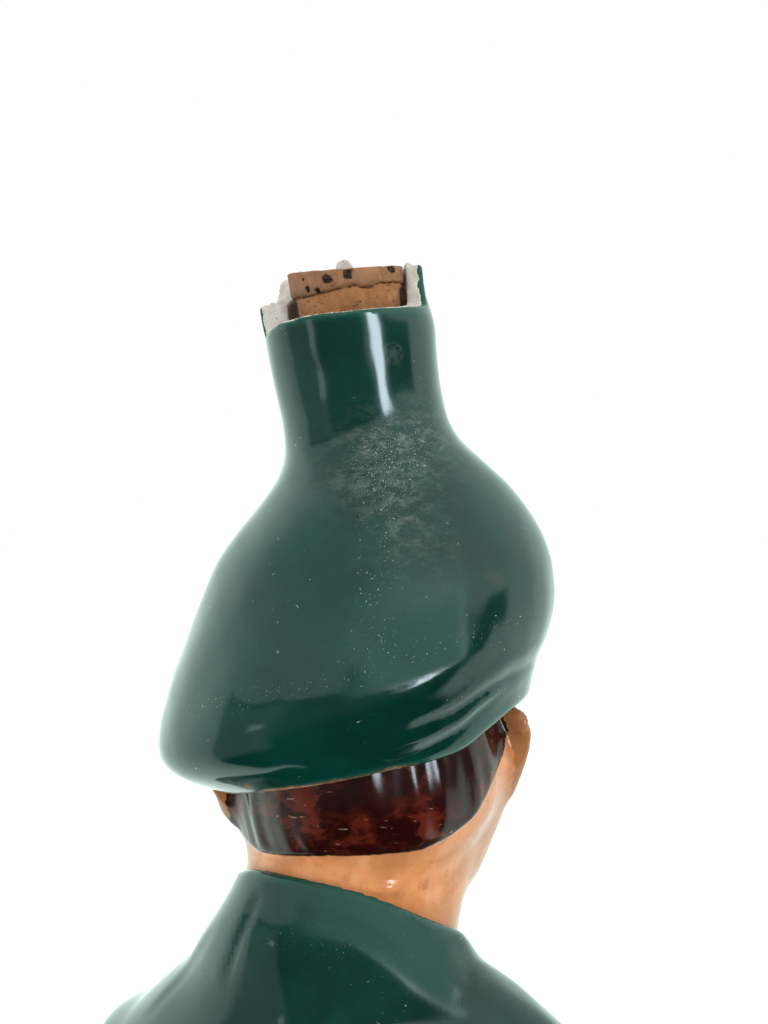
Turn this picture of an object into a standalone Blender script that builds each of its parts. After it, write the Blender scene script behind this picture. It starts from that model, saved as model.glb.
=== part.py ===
"""A glazed ceramic liquor bottle in the form of a bust, seen in the row's frame.

The bust wears a collarless jacket and a soft cap that is pulled over to its left.  The crown of
the cap runs up into the bottle's neck, whose mouth is broken round a cork.  The body faces -Y and
the head is turned to its left.  Lengths below are in millimetres; the model is built in metres.
"""
import math

import bmesh
import bpy
import numpy as np
from mathutils import Matrix, Vector

# ---------------------------------------------------------------- named sizes, millimetres and degrees
VIEW_YAW = 35.0          # the head is turned this far from the line of the shoulders
HEAD_ROLL = 9.0          # the head leans towards its left shoulder
CAP_TILT = 14.0          # slope of the cap's sections
WALL = 4.5               # thickness of the fired body
HEAD_C = (8.5, 0.0, 116.0)
CAP_C = (6.0, 140.0)
BODY_X, BODY_Y = -2.5, -1.7            # the middle of the shoulders
ROLL = 0.05                             # the right shoulder is held a little higher
FOOT_ROUND = 2.6
FOOT_HALF = (56.0, 22.5)                # half length and half depth of the recess under the foot
FOOT_RECESS = 1.6
FLOOR = 6.5                             # top of the bottle's floor above the table
CORK_TOP = (3.0, 0.0, 216.4)            # middle of the cork's top face, across, back, up
CORK_LEAN = 5.6
CORK_LENGTH = 28.0
CORK_FALL = (0.03, 0.16)                # how much its top face falls, across and backwards
BORE_R, COLLAR_R = 10.2, 12.1
LEDGE_AT, THROAT_AT = -20.5, -34.0      # along the cork's axis, from its top face

# sections across the cap and the bottle's neck: height along the sloping axis, then the edge
CAP_LEFT = [(-26, -30.0), (-20.2, -31.0), (-17.5, -35.5), (-14, -41.2), (-11.2, -43.1), (-8.5, -43.4), (-3, -41.4), (3, -38.2), (12, -32.2),
            (18, -28.1), (24, -23.7), (27, -20.9), (30, -17.2), (33, -13.0), (36, -9.3), (39, -6.4), (42, -4.9), (48, -3.9), (54, -3.8),
            (60, -3.8), (66, -3.3), (72, -2.8), (82, -1.6)]
CAP_RIGHT = [(-26, 28.6), (-21, 29.4), (-15, 31.0), (-12, 32.5), (-9, 34.1), (-6, 36.2), (-3, 38.3), (0, 39.8), (3, 40.8), (9, 41.5),
             (15, 40.9), (21, 39.0), (27, 36.0), (30, 34.0), (33, 31.9), (36, 29.9), (39, 28.6), (42, 28.2), (48, 28.5), (54, 29.4),
             (60, 30.5), (66, 30.0), (69, 30.4), (72, 30.8), (82, 31.4)]
CAP_DEPTH = [(-26, 26.5), (-21, 28.2), (-17, 31.5), (-12, 35.2), (-9, 36.6), (-6, 37.1), (-3, 36.9), (0, 36.4), (3, 35.6), (6, 34.7),
             (9, 33.7), (18, 30.2), (24, 27.3), (30, 23.3), (33, 21.0), (36, 18.9), (39, 17.4), (42, 16.6), (48, 16.3), (54, 16.6),
             (60, 17.0), (66, 17.3), (72, 17.6), (82, 18.0)]
CAP_EDGE = [(-50, 0.0), (-31, 0.3), (-20, 2.0), (-7, 0.6), (4, -0.4), (10, -1.5), (17, -2.0), (19, -1.7), (21, -0.8), (25, 0.1), (28, 0.9), (31, 0.9),
            (36, 0.5), (50, 0.2)]
# the bare neck: height, edge
NECK_LEFT = [(60, -19.5), (84, -18.0), (92, -17.2), (99, -16.4), (106, -16.0), (112, -15.6)]
NECK_RIGHT = [(60, 25.0), (84, 25.2), (88, 25.7), (92, 26.6), (96, 27.6), (104, 28.6), (112, 28.6)]
# the clothed body: height, half width, depth behind and in front
TORSO_W = [(-8, 60.0), (4, 59.5), (14, 56.0), (26, 51.5), (40, 52.0), (52, 57.0), (58, 59.0), (62, 54.8), (66.3, 49.6), (70.4, 44.6), (75, 38.7),
           (79.5, 32.8), (84.1, 27.8), (88, 24.0), (92, 20.6), (96, 17.2), (104, 11.0)]
TORSO_B = [(-8, 31.5), (0, 32.5), (20, 36.0), (40, 36.0), (54, 33.6), (62, 30.5), (70, 27.0), (76, 25.5), (82, 25.5), (88, 26.0), (92, 25.4),
           (96, 22.6), (104, 14.0)]
TORSO_F = [(-8, 32.5), (0, 33.5), (20, 38.0), (36, 38.0), (50, 35.0), (60, 30.6), (70, 25.8), (76, 21.0), (80, 16.0), (84, 12.0), (88, 10.0), (104, 8.0)]
# unevenness of the jacket's neck edge: angle round the body from the nape, height
NECK_EDGE = [(-180, 0.0), (-125, -0.6), (-109, -1.0), (-85, -0.5), (-70, 0.2), (-46, 1.3), (-20, 0.7), (-5, 0.2), (20, 0.0), (45, -0.8), (70, -0.4),
             (90, 0.0), (180, 0.0)]
EAR_OUT, EAR_LEAN = 27.0, 12.0
EAR_BACK = [(-12, 1.0), (-9.5, 3.4), (-5, 4.8), (0, 6.4), (5, 7.6), (8.5, 6.2), (10.5, 3.0), (12, 0.5)]
EAR_FORE = [(-12, 1.0), (-9.5, 2.6), (-5, 3.4), (0, 3.6), (5, 4.8), (8.5, 4.6), (10.5, 2.6), (12, 0.5)]
# the broken edge of the mouth: angle round the neck (0 behind the head, - to its left), height, and how much higher it stands inside
MOUTH = [(-180, 220.9, 0.1), (-172, 219.6, 0.2), (-166, 214.6, 0.3), (-150, 212.8, 0.4), (-144, 213.6, 0.3), (-138, 216.2, 0.3), (-133, 216.9, 0.3), (-129.5, 217.2, 0.3), (-127.5, 214.8, 0.3),
         (-124.5, 212.3, 0.2), (-118, 211.2, 0.2), (-108, 210.4, 0.2), (-99, 209.9, 0.15), (-91, 209.3, 0.15), (-86, 208.4, 0.1), (-82, 205.8, 0.1), (-76, 202.6, 0.1), (-64, 203.4, 0.1), (-50, 204.3, 0.1), (-28, 205.2, 0.1), (0, 205.8, 0.1),
         (28, 206.8, 0.1), (56, 207.8, 0.1), (71, 208.6, 0.1), (77, 212.6, 0.1), (82, 216.6, 0.1), (92, 217.4, 0.15), (118, 217.2, 0.2), (127, 214.6, 0.3),
         (140, 212.4, 0.3), (158, 213.2, 0.4), (168, 214.8, 0.3), (174, 219.8, 0.2), (180, 220.9, 0.1)]


# ---------------------------------------------------------------- curves and blends
def rot2(deg):
    a = np.radians(deg)
    return np.cos(a), np.sin(a)


def profile(knots, sigma, n=3000):
    """A smooth curve through (position, value) knots, rounded over sigma."""
    xs = np.array([k[0] for k in knots], float)
    ys = np.array([k[1] for k in knots], float)
    g = np.linspace(xs[0] - 6 * sigma, xs[-1] + 6 * sigma, n)
    y = np.interp(g, xs, ys)
    y = np.where(g < xs[0], ys[0] + (g - xs[0]) * (ys[1] - ys[0]) / (xs[1] - xs[0]), y)
    y = np.where(g > xs[-1], ys[-1] + (g - xs[-1]) * (ys[-1] - ys[-2]) / (xs[-1] - xs[-2]), y)
    step = g[1] - g[0]
    m = max(1, int(4 * sigma / step))
    k = np.exp(-0.5 * (np.arange(-m, m + 1) * step / sigma) ** 2)
    k /= k.sum()
    pad = np.concatenate([y[0] + (y[1] - y[0]) * np.arange(-m, 0), y, y[-1] + (y[-1] - y[-2]) * np.arange(1, m + 1)])
    y = np.convolve(pad, k, "valid")
    return lambda v: np.interp(v, g, y)


def smin(a, b, k):
    h = np.maximum(k - np.abs(a - b), 0.0) / k
    return np.minimum(a, b) - h * h * k * 0.25


def smax(a, b, k):
    return -smin(-a, -b, k)


def smooth(e0, e1, v):
    t = np.clip((v - e0) / (e1 - e0), 0, 1)
    return t * t * (3 - 2 * t)


def ellipsoid(x, y, z, c, r):
    px, py, pz = (x - c[0]) / r[0], (y - c[1]) / r[1], (z - c[2]) / r[2]
    k0 = np.sqrt(px * px + py * py + pz * pz)
    k1 = np.sqrt((px / r[0]) ** 2 + (py / r[1]) ** 2 + (pz / r[2]) ** 2)
    return k0 * (k0 - 1) / np.maximum(k1, 1e-9)


def sphere(x, y, z, c, r):
    return np.sqrt((x - c[0]) ** 2 + (y - c[1]) ** 2 + (z - c[2]) ** 2) - r


def capsule(x, y, z, a, b, ra, rb=None):
    rb = ra if rb is None else rb
    bx, by, bz = b[0] - a[0], b[1] - a[1], b[2] - a[2]
    px, py, pz = x - a[0], y - a[1], z - a[2]
    t = np.clip((px * bx + py * by + pz * bz) / (bx * bx + by * by + bz * bz), 0, 1)
    return np.sqrt((px - t * bx) ** 2 + (py - t * by) ** 2 + (pz - t * bz) ** 2) - (ra + t * (rb - ra))


def section(u, v, hu, hv, n=2.0):
    """A tube of superelliptic section: near its wall this is the distance to it."""
    a, b = np.abs(u / hu), np.abs(v / hv)
    if n == 2.0:
        k0 = np.sqrt(a * a + b * b)
        k1 = np.sqrt((a / hu) ** 2 + (b / hv) ** 2)
        return k0 * (k0 - 1) / np.maximum(k1, 1e-6)
    s = np.maximum(a ** n + b ** n, 1e-12)
    k1 = s ** (1 / n - 1) * np.sqrt((a ** (n - 1) / hu) ** 2 + (b ** (n - 1) / hv) ** 2)
    return (s ** (1 / n) - 1) / np.maximum(k1, 1e-6)


def by_slope(fn, args, e=0.05):
    """Turns a smooth field into a near distance, by its own slope."""
    f = fn(*args)
    g = np.zeros_like(f)
    for i in range(3):
        q = list(args)
        q[i] = q[i] + e
        g += ((fn(*q) - f) / e) ** 2
    return f / np.sqrt(np.maximum(g, 0.25))


# ---------------------------------------------------------------- frames
CY, SY = rot2(VIEW_YAW)


def to_view(P):
    """x, y, z of the body -> across the back of the head, backwards, up."""
    return -CY * P[:, 0] - SY * P[:, 1], -SY * P[:, 0] + CY * P[:, 1], P[:, 2]


def from_view(r, b, z):
    r, b, z = np.broadcast_arrays(np.asarray(r, float), np.asarray(b, float), np.asarray(z, float))
    return np.stack([-CY * r - SY * b, -SY * r + CY * b, z], -1)


def head_frame(r, b, z):
    c, s = rot2(HEAD_ROLL)
    dr, dz = r - HEAD_C[0], z - HEAD_C[2]
    return c * dr + s * dz, b - HEAD_C[1], -s * dr + c * dz


def cap_frame(r, z):
    c, s = rot2(CAP_TILT)
    dr, dz = r - CAP_C[0], z - CAP_C[1]
    return c * dr + s * dz, -s * dr + c * dz


def cork_frame(r, b, z):
    """Distance from the cork's axis and height along it, from the cork's top face."""
    c, s = rot2(CORK_LEAN)
    dr, dz = r - CORK_TOP[0], z - CORK_TOP[2]
    p, q = c * dr + s * dz, b - CORK_TOP[1]
    return np.sqrt(p * p + q * q), -s * dr + c * dz, p, q


def parts_of(P):
    x, y, z = P[:, 0], P[:, 1], P[:, 2]
    r, b, _ = to_view(P)
    u, v, w = head_frame(r, b, z)
    return x, y, z, r, b, u, v, w


# ---------------------------------------------------------------- cap and bottle neck
cap_l, cap_r, cap_d = profile(CAP_LEFT, 1.6), profile(CAP_RIGHT, 1.6), profile(CAP_DEPTH, 1.8)
edge_wave = profile(CAP_EDGE, 1.3)


def cap_tube(r, b, z):
    u, t = cap_frame(r, z)
    t = np.clip(t, -32, 84)
    left, right = cap_l(t), cap_r(t)
    return section(u - (right + left) / 2, b, (right - left) / 2, cap_d(t))


def cap_edge(r, b, z):
    """Height above the cap's lower edge, along the head's own axis."""
    u, v, w = head_frame(r, b, z)
    front = np.maximum(-v - 4, 0)
    edge = 5.2 + 0.161 * u + edge_wave(np.clip(u, -50, 50)) * smooth(-8, 8, v) + 0.0125 * front ** 2 / (1 + front / 60)
    return w - edge


def cap(r, b, z):
    return smax(by_slope(cap_tube, (r, b, z)), -cap_edge(r, b, z) / 1.02, 1.2)


# ---------------------------------------------------------------- head
def head_mass(u, v, w):
    """Skull, jaw and cheeks, without features."""
    f = ellipsoid(u, v, w, (0, -1.5, 10.0), (25.8, 27.4, 26.0))
    f = smin(f, ellipsoid(u, v, w, (0, 4.0, -3.0), (24.2, 21.8, 17.0)), 8)
    return smin(f, ellipsoid(u, v, w, (0, -9.0, -9.0), (20.5, 19.0, 23.0)), 8)


def face(u, v, w):
    f = head_mass(u, v, w)
    a = np.abs(u)
    f = smin(f, sphere(a, v, w, (13.5, -15.5, -8.5), 9.0), 7)                                  # cheekbones
    f = smin(f, capsule(a, v, w, (25.6, 1.0, 1.0), (13.6, -3.5, -19.0), 4.2, 5.0), 7)          # jaw, from the ear down
    f = smin(f, ellipsoid(u, v, w, (0, -21.0, -29.0), (8.5, 7.0, 7.0)), 6)                     # chin
    f = smin(f, ellipsoid(u, v, w, (0, -21.0, -20.0), (10.5, 7.2, 6.0)), 6)                    # round of the mouth
    f = smin(f, capsule(a, v, w, (3.5, -23.6, 9.0), (14.5, -19.5, 8.0), 3.6, 3.0), 4)          # brow
    f = smax(f, -ellipsoid(a, v, w, (10.6, -29.2, 2.2), (6.2, 5.2, 3.9)), 3.5)                 # eye sockets
    ball = sphere(a, v, w, (10.4, -19.6, 2.2), 6.0)
    lid = sphere(a, v, w, (10.4, -19.6, 2.2), 6.75)
    x = a - 10.5
    up = 2.2 + 2.0 * (1 - (x / 5.4) ** 2) + 0.03 * x
    dn = 2.2 - 1.7 * (1 - (x / 5.6) ** 2) + 0.03 * x
    lid = smax(lid, -np.maximum(w - up, dn - w), 0.5)
    f = smin(f, lid, 1.2)
    f = smin(f, ball, 0.35)
    f = smin(f, capsule(u, v, w, (0, -24.5, 6.5), (0, -31.8, -7.8), 2.2, 3.4), 2.6)            # nose
    f = smin(f, sphere(u, v, w, (0, -32.6, -8.6), 3.5), 2.0)
    f = smin(f, ellipsoid(a, v, w, (4.0, -28.6, -9.9), (2.5, 3.6, 2.5)), 1.6)
    f = smax(f, -ellipsoid(a, v, w, (2.1, -31.0, -12.2), (1.1, 1.9, 1.3)), 0.8)
    line = -20.3 + 0.9 * (u / 8.6) ** 2 - 0.35 * np.exp(-(u / 1.6) ** 2)
    top = ellipsoid(a, v, w - 0.08 * a, (3.0, -26.6, -18.6), (5.6, 2.2, 1.9))                  # lips
    low = ellipsoid(u, v, w - 0.06 * a, (0, -26.4, -22.6), (6.6, 2.5, 2.3))
    f = smin(f, top, 1.6)
    f = smin(f, low, 1.8)
    groove = np.sqrt(((w - line) / 1.0) ** 2 + ((v + 29.6) / 2.6) ** 2) - 0.75
    f = smax(f, -np.maximum(groove, a - 7.6), 0.9)
    return smax(f, -capsule(u, v, w, (0, -30.6, -15.6), (0, -29.8, -13.2), 0.9), 1.2)


ear_back, ear_fore = profile(EAR_BACK, 0.9), profile(EAR_FORE, 0.9)


def ear_frame(u, v, w):
    """Out of the ear's shell, back along it, up."""
    a = np.abs(u) + np.where(u < 0, 1.0, 0.0)
    x, y, z = a - 26.6, v - 1.0, w - 0.8
    low = np.maximum(1.5 - z, 0)
    x = x + 0.036 * low ** 2 / (1 + 0.05 * low)
    c, s = rot2(EAR_LEAN)
    z, y = c * z + s * y, -s * z + c * y
    c, s = rot2(EAR_OUT)
    return c * x - s * y, s * x + c * y, z


def ear(u, v, w):
    n, q, z = ear_frame(u, v, w)
    zz = np.clip(z, -12, 12)
    edge = (np.abs(q) - np.where(q > 0, ear_back(zz), ear_fore(zz))) * 0.8
    edge = smax(edge, np.abs(z) - 10.6, 3.0)
    n = n - 0.035 * q * q + 0.3
    shell = smax(np.abs(n - 0.4) - 1.5, edge, 2.2)
    shell = smax(shell, -ellipsoid(n, q, z, (2.6, 0.2, 0.2), (2.4, 4.6, 7.0)), 1.2)            # inside of the rim
    shell = smax(shell, -ellipsoid(n, q, z, (2.0, -1.0, -2.4), (2.6, 3.1, 3.6)), 1.0)          # hollow
    shell = smin(shell, capsule(n, q, z, (0.8, 2.0, -4.6), (0.8, 2.9, 1.0), 0.9), 1.0)
    shell = smin(shell, capsule(n, q, z, (0.8, 2.9, 1.0), (0.7, 0.2, 4.6), 0.9), 1.0)
    shell = smin(shell, sphere(n, q, z, (1.5, -3.3, -2.6), 1.5), 1.0)
    root = capsule(n, q, z, (-2.8, -1.2, -6.0), (-2.8, -0.8, 6.0), 2.2)
    return smin(shell, root, 2.0)


# ---------------------------------------------------------------- neck and clothed shoulders
neck_l, neck_r = profile(NECK_LEFT, 2.0), profile(NECK_RIGHT, 2.0)


def neck_column(r, b, z):
    zz = np.clip(z, 56, 114)
    left, right = neck_l(zz), neck_r(zz)
    return section(r - (left + right) / 2, b - 1.5 + 0.05 * (zz - 90), (right - left) / 2, 20.6)


neck_wave = profile(NECK_EDGE, 5.0)
torso_w, torso_b, torso_f = profile(TORSO_W, 1.8), profile(TORSO_B, 2.6), profile(TORSO_F, 3.0)


def torso_tube(x, y, z):
    zz = np.clip(z + ROLL * x * smooth(30, 60, z), -12, 112)
    k = smooth(-6, 6, y)
    return section(x, y, torso_w(zz), torso_b(zz) * k + torso_f(zz) * (1 - k), 2.15)


def back_wall(r, z):
    """How far back the cloth reaches behind the right shoulder, nearly upright under the slope of the shoulder."""
    low = 74 - z
    return 23.7 - 0.0042 * np.maximum(r - 6, 0) ** 2 + 0.012 * np.minimum(r, 0) ** 2 + 0.09 * np.maximum(88 - z, 0) + 0.45 * (low + np.sqrt(low ** 2 + 16))


def torso(x, y, z):
    wall = -SY * x + CY * y - back_wall(-CY * x - SY * y, z)
    x, y = x - BODY_X, y - BODY_Y
    f = smax(by_slope(torso_tube, (x - 1.5 * smooth(74, 84, z), y, z)), wall * 0.97, 5)
    arm = capsule(np.abs(x), y, z - 45.4 + ROLL * x, (51.5, 0.5, 0.0), (53.5, -1.5, -60.0), 16.0, 15.0)
    return smin(f, arm, 9)


def jacket_form(x, y, z, r, b):
    """The jacket's outside, drawn up thinly against the neck."""
    return smin(torso(x, y, z), neck_column(r, b, z) - 0.45, 4.5)


def neckline(x, y):
    """Height of the jacket's neck edge, high at the nape and low at the throat."""
    al = np.arctan2(x - BODY_X, y - BODY_Y + 0.5)
    q = al - np.radians(3) * (0.5 + 0.5 * np.cos(al))
    return 90.2 + 9.9 * np.cos(q) - 10.0 * smooth(1.7, np.pi, np.abs(al)) + neck_wave(np.degrees(al))


# ---------------------------------------------------------------- mouth, hollow and foot
mouth_z, mouth_in = profile([m[:2] for m in MOUTH], 1.8), profile([(m[0], m[2]) for m in MOUTH], 3.0)


def mouth_top(r, b, z):
    """Height above the broken edge of the mouth."""
    d, s, p, q = cork_frame(r, b, z)
    th = np.degrees(np.arctan2(p, q))
    k = smooth(6.0, 9.5, d)
    return z - 210.0 - k * (mouth_z(th) - 210.0 + mouth_in(th) * (15.0 - np.clip(d, 9.0, 19.0)))


def bore(r, b, z):
    """The collar's socket and the bore that holds the cork."""
    d, s, p, q = cork_frame(r, b, z)
    wide = smax(d - COLLAR_R, LEDGE_AT - s, 0.6)
    narrow = np.maximum(d - BORE_R, THROAT_AT - 6 - s)
    return np.minimum(wide, narrow)


def hollow(P):
    """The inside of the vessel, below the bore."""
    x, y, z, r, b, u, v, w = parts_of(P)
    f = smax(by_slope(cap_tube, (r, b, z)), -cap_edge(r, b, z), 4)
    d, s, p, q = cork_frame(r, b, z)
    f = smax(f, s - THROAT_AT - WALL, 3)
    f = smin(f, head_mass(u, v, w), 6)
    f = smin(f, smax(neck_column(r, b, z), z - 112, 4), 8)
    f = smin(f, smax(torso(x, y, z), (z - neckline(x, y)) * 0.85, 4), 8)
    return smax(f + WALL, FLOOR - z, 3)


def outside(P):
    """The bottle's outer surface with its broken mouth and its flat foot."""
    x, y, z, r, b, u, v, w = parts_of(P)
    neck = neck_column(r, b, z)
    jacket = jacket_form(x, y, z, r, b)
    jacket = smax(jacket, (z - neckline(x, y)) * 0.85, 0.7)
    skin = smin(face(u, v, w), np.maximum(neck, z - 112), 4)
    skin = smin(skin, ear(u, v, w), 2.2)
    f = smin(smin(skin, jacket, CREASE), cap(r, b, z), CREASE)
    f = smax(f, mouth_top(r, b, z) * 0.7, 0.5)
    return smax(f, -z, FOOT_ROUND)


# ---------------------------------------------------------------- meshing
MM = 0.001
CREASE = 1.6                           # how far glaze fills the creases under the cap and at the neck edge
ORIGIN = (-2.5, -3.153)               # the middle of the footprint becomes the origin
OUTSIDE_GRID, HOLLOW_GRID = 2.0, 3.0
OUTSIDE_KEEP, HOLLOW_KEEP = 0.112, 0.11
BOX_LOW, BOX_HIGH = (-76.6, -46.4, -5.0), (72.0, 46.0, 226.0)


def slope_of(fn, P, e=0.02):
    g = np.empty_like(P)
    for i in range(3):
        d = np.zeros(3)
        d[i] = e
        g[:, i] = (fn(P + d) - fn(P - d)) / (2 * e)
    return g


def heal(F, tiny=1e-3):
    """Fills grid squares whose diagonals disagree, so that the skin never pinches itself."""
    for _ in range(12):
        found = 0
        for o1, o2 in ((0, 1), (1, 2), (0, 2)):
            def part(a, b):
                s = [slice(None)] * 3
                s[o1] = slice(a, F.shape[o1] - 1 + a)
                s[o2] = slice(b, F.shape[o2] - 1 + b)
                return tuple(s)
            f00, f01, f10, f11 = F[part(0, 0)], F[part(0, 1)], F[part(1, 0)], F[part(1, 1)]
            same = ((f00 < 0) == (f11 < 0)) & ((f01 < 0) == (f10 < 0))
            odd = same & ((f00 < 0) != (f01 < 0))
            found += odd.sum()
            near = odd & (f00 >= 0)
            F[part(0, 0)][near] = -tiny
            F[part(0, 1)][odd & ~near] = -tiny
        c = [F[i:F.shape[0] - 1 + i, j:F.shape[1] - 1 + j, k:F.shape[2] - 1 + k] < 0
             for i in (0, 1) for j in (0, 1) for k in (0, 1)]
        total = sum(q.astype(int) for q in c)
        for a, b in ((0, 7), (1, 6), (2, 5), (3, 4)):
            for both, n in ((c[a] & c[b], 2), (~c[a] & ~c[b], 6)):
                pinch = both & (total == n)
                found += pinch.sum()
                i, j, k = np.nonzero(pinch)
                at = (i + (a >> 2 & 1), j + (a >> 1 & 1), k + (a & 1))
                F[at] = np.where(F[at] < 0, tiny, -tiny)
        if not found:
            return


def skin_of(fn, low, high, h):
    """Quads over the zero surface of a field: one corner in each grid cell that it crosses."""
    low, high = np.array(low, float), np.array(high, float)
    n = np.ceil((high - low) / h).astype(int) + 1
    axes = [low[i] + h * np.arange(n[i]) for i in range(3)]
    F = np.empty(n)
    Y, Z = np.meshgrid(axes[1], axes[2], indexing="ij")
    for i in range(n[0]):
        F[i] = fn(np.stack([np.full(Y.size, axes[0][i]), Y.ravel(), Z.ravel()], 1)).reshape(n[1], n[2])
    heal(F)
    S = F < 0
    count = sum(S[i:n[0] - 1 + i, j:n[1] - 1 + j, k:n[2] - 1 + k].astype(int)
                for i in (0, 1) for j in (0, 1) for k in (0, 1))
    cell = np.stack(np.nonzero((count > 0) & (count < 8)), 1)
    index = -np.ones(n - 1, int)
    index[tuple(cell.T)] = np.arange(len(cell))
    pos, hits = np.zeros((len(cell), 3)), np.zeros(len(cell))
    for corner in [(i, j, k) for i in (0, 1) for j in (0, 1) for k in (0, 1)]:
        for ax in range(3):
            if corner[ax]:
                continue
            c0, c1 = np.array(corner), np.array(corner)
            c1[ax] = 1
            f0, f1 = F[tuple((cell + c0).T)], F[tuple((cell + c1).T)]
            cut = (f0 < 0) != (f1 < 0)
            q = np.tile(c0.astype(float), (len(cell), 1))
            q[:, ax] += np.where(cut, f0 / np.where(cut, f0 - f1, 1), 0)
            pos += q * cut[:, None]
            hits += cut
    V = (pos / hits[:, None] + cell) * h + low
    quads = []
    for ax, o1, o2 in ((0, 1, 2), (1, 2, 0), (2, 0, 1)):
        s0, s1 = [slice(None)] * 3, [slice(None)] * 3
        s0[ax], s1[ax] = slice(0, -1), slice(1, None)
        A, B = S[tuple(s0)], S[tuple(s1)]
        e = np.stack(np.nonzero(A != B), 1)
        ring = []
        for d1, d2 in ((1, 1), (0, 1), (0, 0), (1, 0)):
            q = e.copy()
            q[:, o1] -= d1
            q[:, o2] -= d2
            ring.append(index[tuple(q.T)])
        ring = np.stack(ring, 1)
        quads.append(np.where(A[tuple(e.T)][:, None], ring, ring[:, ::-1]))
    for _ in range(3):
        f, g = fn(V), slope_of(fn, V)
        gg = np.maximum((g * g).sum(1), 0.05)
        V = V - g * np.clip(f / gg, -h / 2, h / 2)[:, None]
    return V, np.concatenate(quads)


def material(name, colour, roughness):
    m = bpy.data.materials.new(name)
    m.use_nodes = True
    b = m.node_tree.nodes["Principled BSDF"]
    b.inputs["Base Color"].default_value = (*colour, 1)
    b.inputs["Roughness"].default_value = roughness
    b.inputs["Metallic"].default_value = 0.0
    return m


def new_object(name, bm, mat=None):
    bmesh.ops.recalc_face_normals(bm, faces=bm.faces[:])
    mesh = bpy.data.meshes.new(name)
    bm.to_mesh(mesh)
    bm.free()
    mesh.shade_smooth()
    ob = bpy.data.objects.new(name, mesh)
    bpy.context.scene.collection.objects.link(ob)
    if mat:
        mesh.materials.append(mat)
    return ob


def sculpted(name, fn, grid, keep, mat=None):
    """A skinned form, thinned where it is nearly flat."""
    V, Q = skin_of(fn, BOX_LOW, BOX_HIGH, grid)
    bm = bmesh.new()
    verts = [bm.verts.new(((p[0] - ORIGIN[0]) * MM, (p[1] - ORIGIN[1]) * MM, p[2] * MM)) for p in V.tolist()]
    for q in Q.tolist():
        bm.faces.new([verts[i] for i in q])
    ob = new_object(name, bm, mat)
    thin = ob.modifiers.new("Thin out", "DECIMATE")
    thin.decimate_type = "COLLAPSE"
    thin.ratio = keep
    return ob


def turned(name, outline, steps, mat=None):
    """A piece turned from (radius, height) points, from its upper end to its lower one."""
    bm = bmesh.new()
    line = [bm.verts.new((r * MM, 0, s * MM)) for r, s in outline]
    edges = [bm.edges.new(pair) for pair in zip(line[:-1], line[1:])]
    bmesh.ops.spin(bm, geom=line + edges, cent=(0, 0, 0), axis=(0, 0, 1), angle=math.tau, steps=steps, use_duplicate=False)
    bmesh.ops.remove_doubles(bm, verts=bm.verts[:], dist=1e-6)
    for loop_z in (outline[0][1], outline[-1][1]):
        rim = [e for e in bm.edges if e.is_boundary and abs(e.verts[0].co.z - loop_z * MM) < 1e-6]
        bmesh.ops.contextual_create(bm, geom=rim)
    return new_object(name, bm, mat)


def stand_on_cork_axis(ob):
    """Puts a turned piece on the axis of the mouth, its zero height at the cork's top face."""
    top = from_view(*CORK_TOP)
    lean = math.radians(CORK_LEAN)
    up = Vector(from_view(-math.sin(lean), 0.0, math.cos(lean)).tolist())
    ob.location = ((top[0] - ORIGIN[0]) * MM, (top[1] - ORIGIN[1]) * MM, top[2] * MM)
    ob.rotation_mode = "QUATERNION"
    ob.rotation_quaternion = up.to_track_quat("Z", "Y")


def slope_top(ob):
    """Lets the cork's top face fall towards the back."""
    turn = ob.rotation_quaternion.to_matrix()
    for v in ob.data.vertices:
        if v.co.z > -1.0 * MM:
            q = turn @ v.co
            v.co.z -= CORK_FALL[0] * (-CY * q.x - SY * q.y) + CORK_FALL[1] * (-SY * q.x + CY * q.y)


def cutter(ob, body, label):
    ob.hide_render = True
    ob.display_type = "WIRE"
    cut = body.modifiers.new(label, "BOOLEAN")
    cut.operation = "DIFFERENCE"
    cut.solver = "EXACT"
    cut.object = ob


def foot_outline(n=72):
    """Points round the recess under the foot, a rounded oblong."""
    pts = []
    for k in range(n):
        c, q = math.cos(math.tau * k / n), math.sin(math.tau * k / n)
        pts.append((BODY_X + FOOT_HALF[0] * math.copysign(abs(c) ** 0.88, c),
                    BODY_Y + FOOT_HALF[1] * math.copysign(abs(q) ** 0.88, q)))
    return pts


def build():
    for ob in list(bpy.data.objects):
        bpy.data.objects.remove(ob, do_unlink=True)
    glaze = material("green_glaze", (0.012, 0.085, 0.062), 0.14)
    corkwood = material("cork", (0.42, 0.24, 0.10), 0.85)

    body = sculpted("bottle_body", outside, OUTSIDE_GRID, OUTSIDE_KEEP, glaze)
    cutter(sculpted("hollow_cutter", hollow, HOLLOW_GRID, HOLLOW_KEEP), body, "Hollow")

    mouth = turned("mouth_cutter", [(COLLAR_R, 14), (COLLAR_R, LEDGE_AT), (BORE_R, LEDGE_AT - 0.4), (BORE_R, THROAT_AT - 6)], 40)
    stand_on_cork_axis(mouth)
    cutter(mouth, body, "Mouth")

    bm = bmesh.new()
    ring = [bm.verts.new(((x - ORIGIN[0]) * MM, (y - ORIGIN[1]) * MM, -6 * MM)) for x, y in foot_outline()]
    low = bm.faces.new(ring)
    raised = bmesh.ops.extrude_face_region(bm, geom=[low])["geom"]
    bmesh.ops.translate(bm, verts=[g for g in raised if isinstance(g, bmesh.types.BMVert)], vec=(0, 0, (6 + FOOT_RECESS) * MM))
    cutter(new_object("foot_cutter", bm), body, "Foot recess")

    cork = turned("cork_stopper", [(10.9, 0), (11.4, -0.6), (11.1, -4), (10.5, -9), (10.1, -14), (9.9, -19), (9.9, -27.2), (9.3, -CORK_LENGTH)], 40, corkwood)
    stand_on_cork_axis(cork)
    slope_top(cork)

    bpy.context.view_layer.update()


build()
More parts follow.
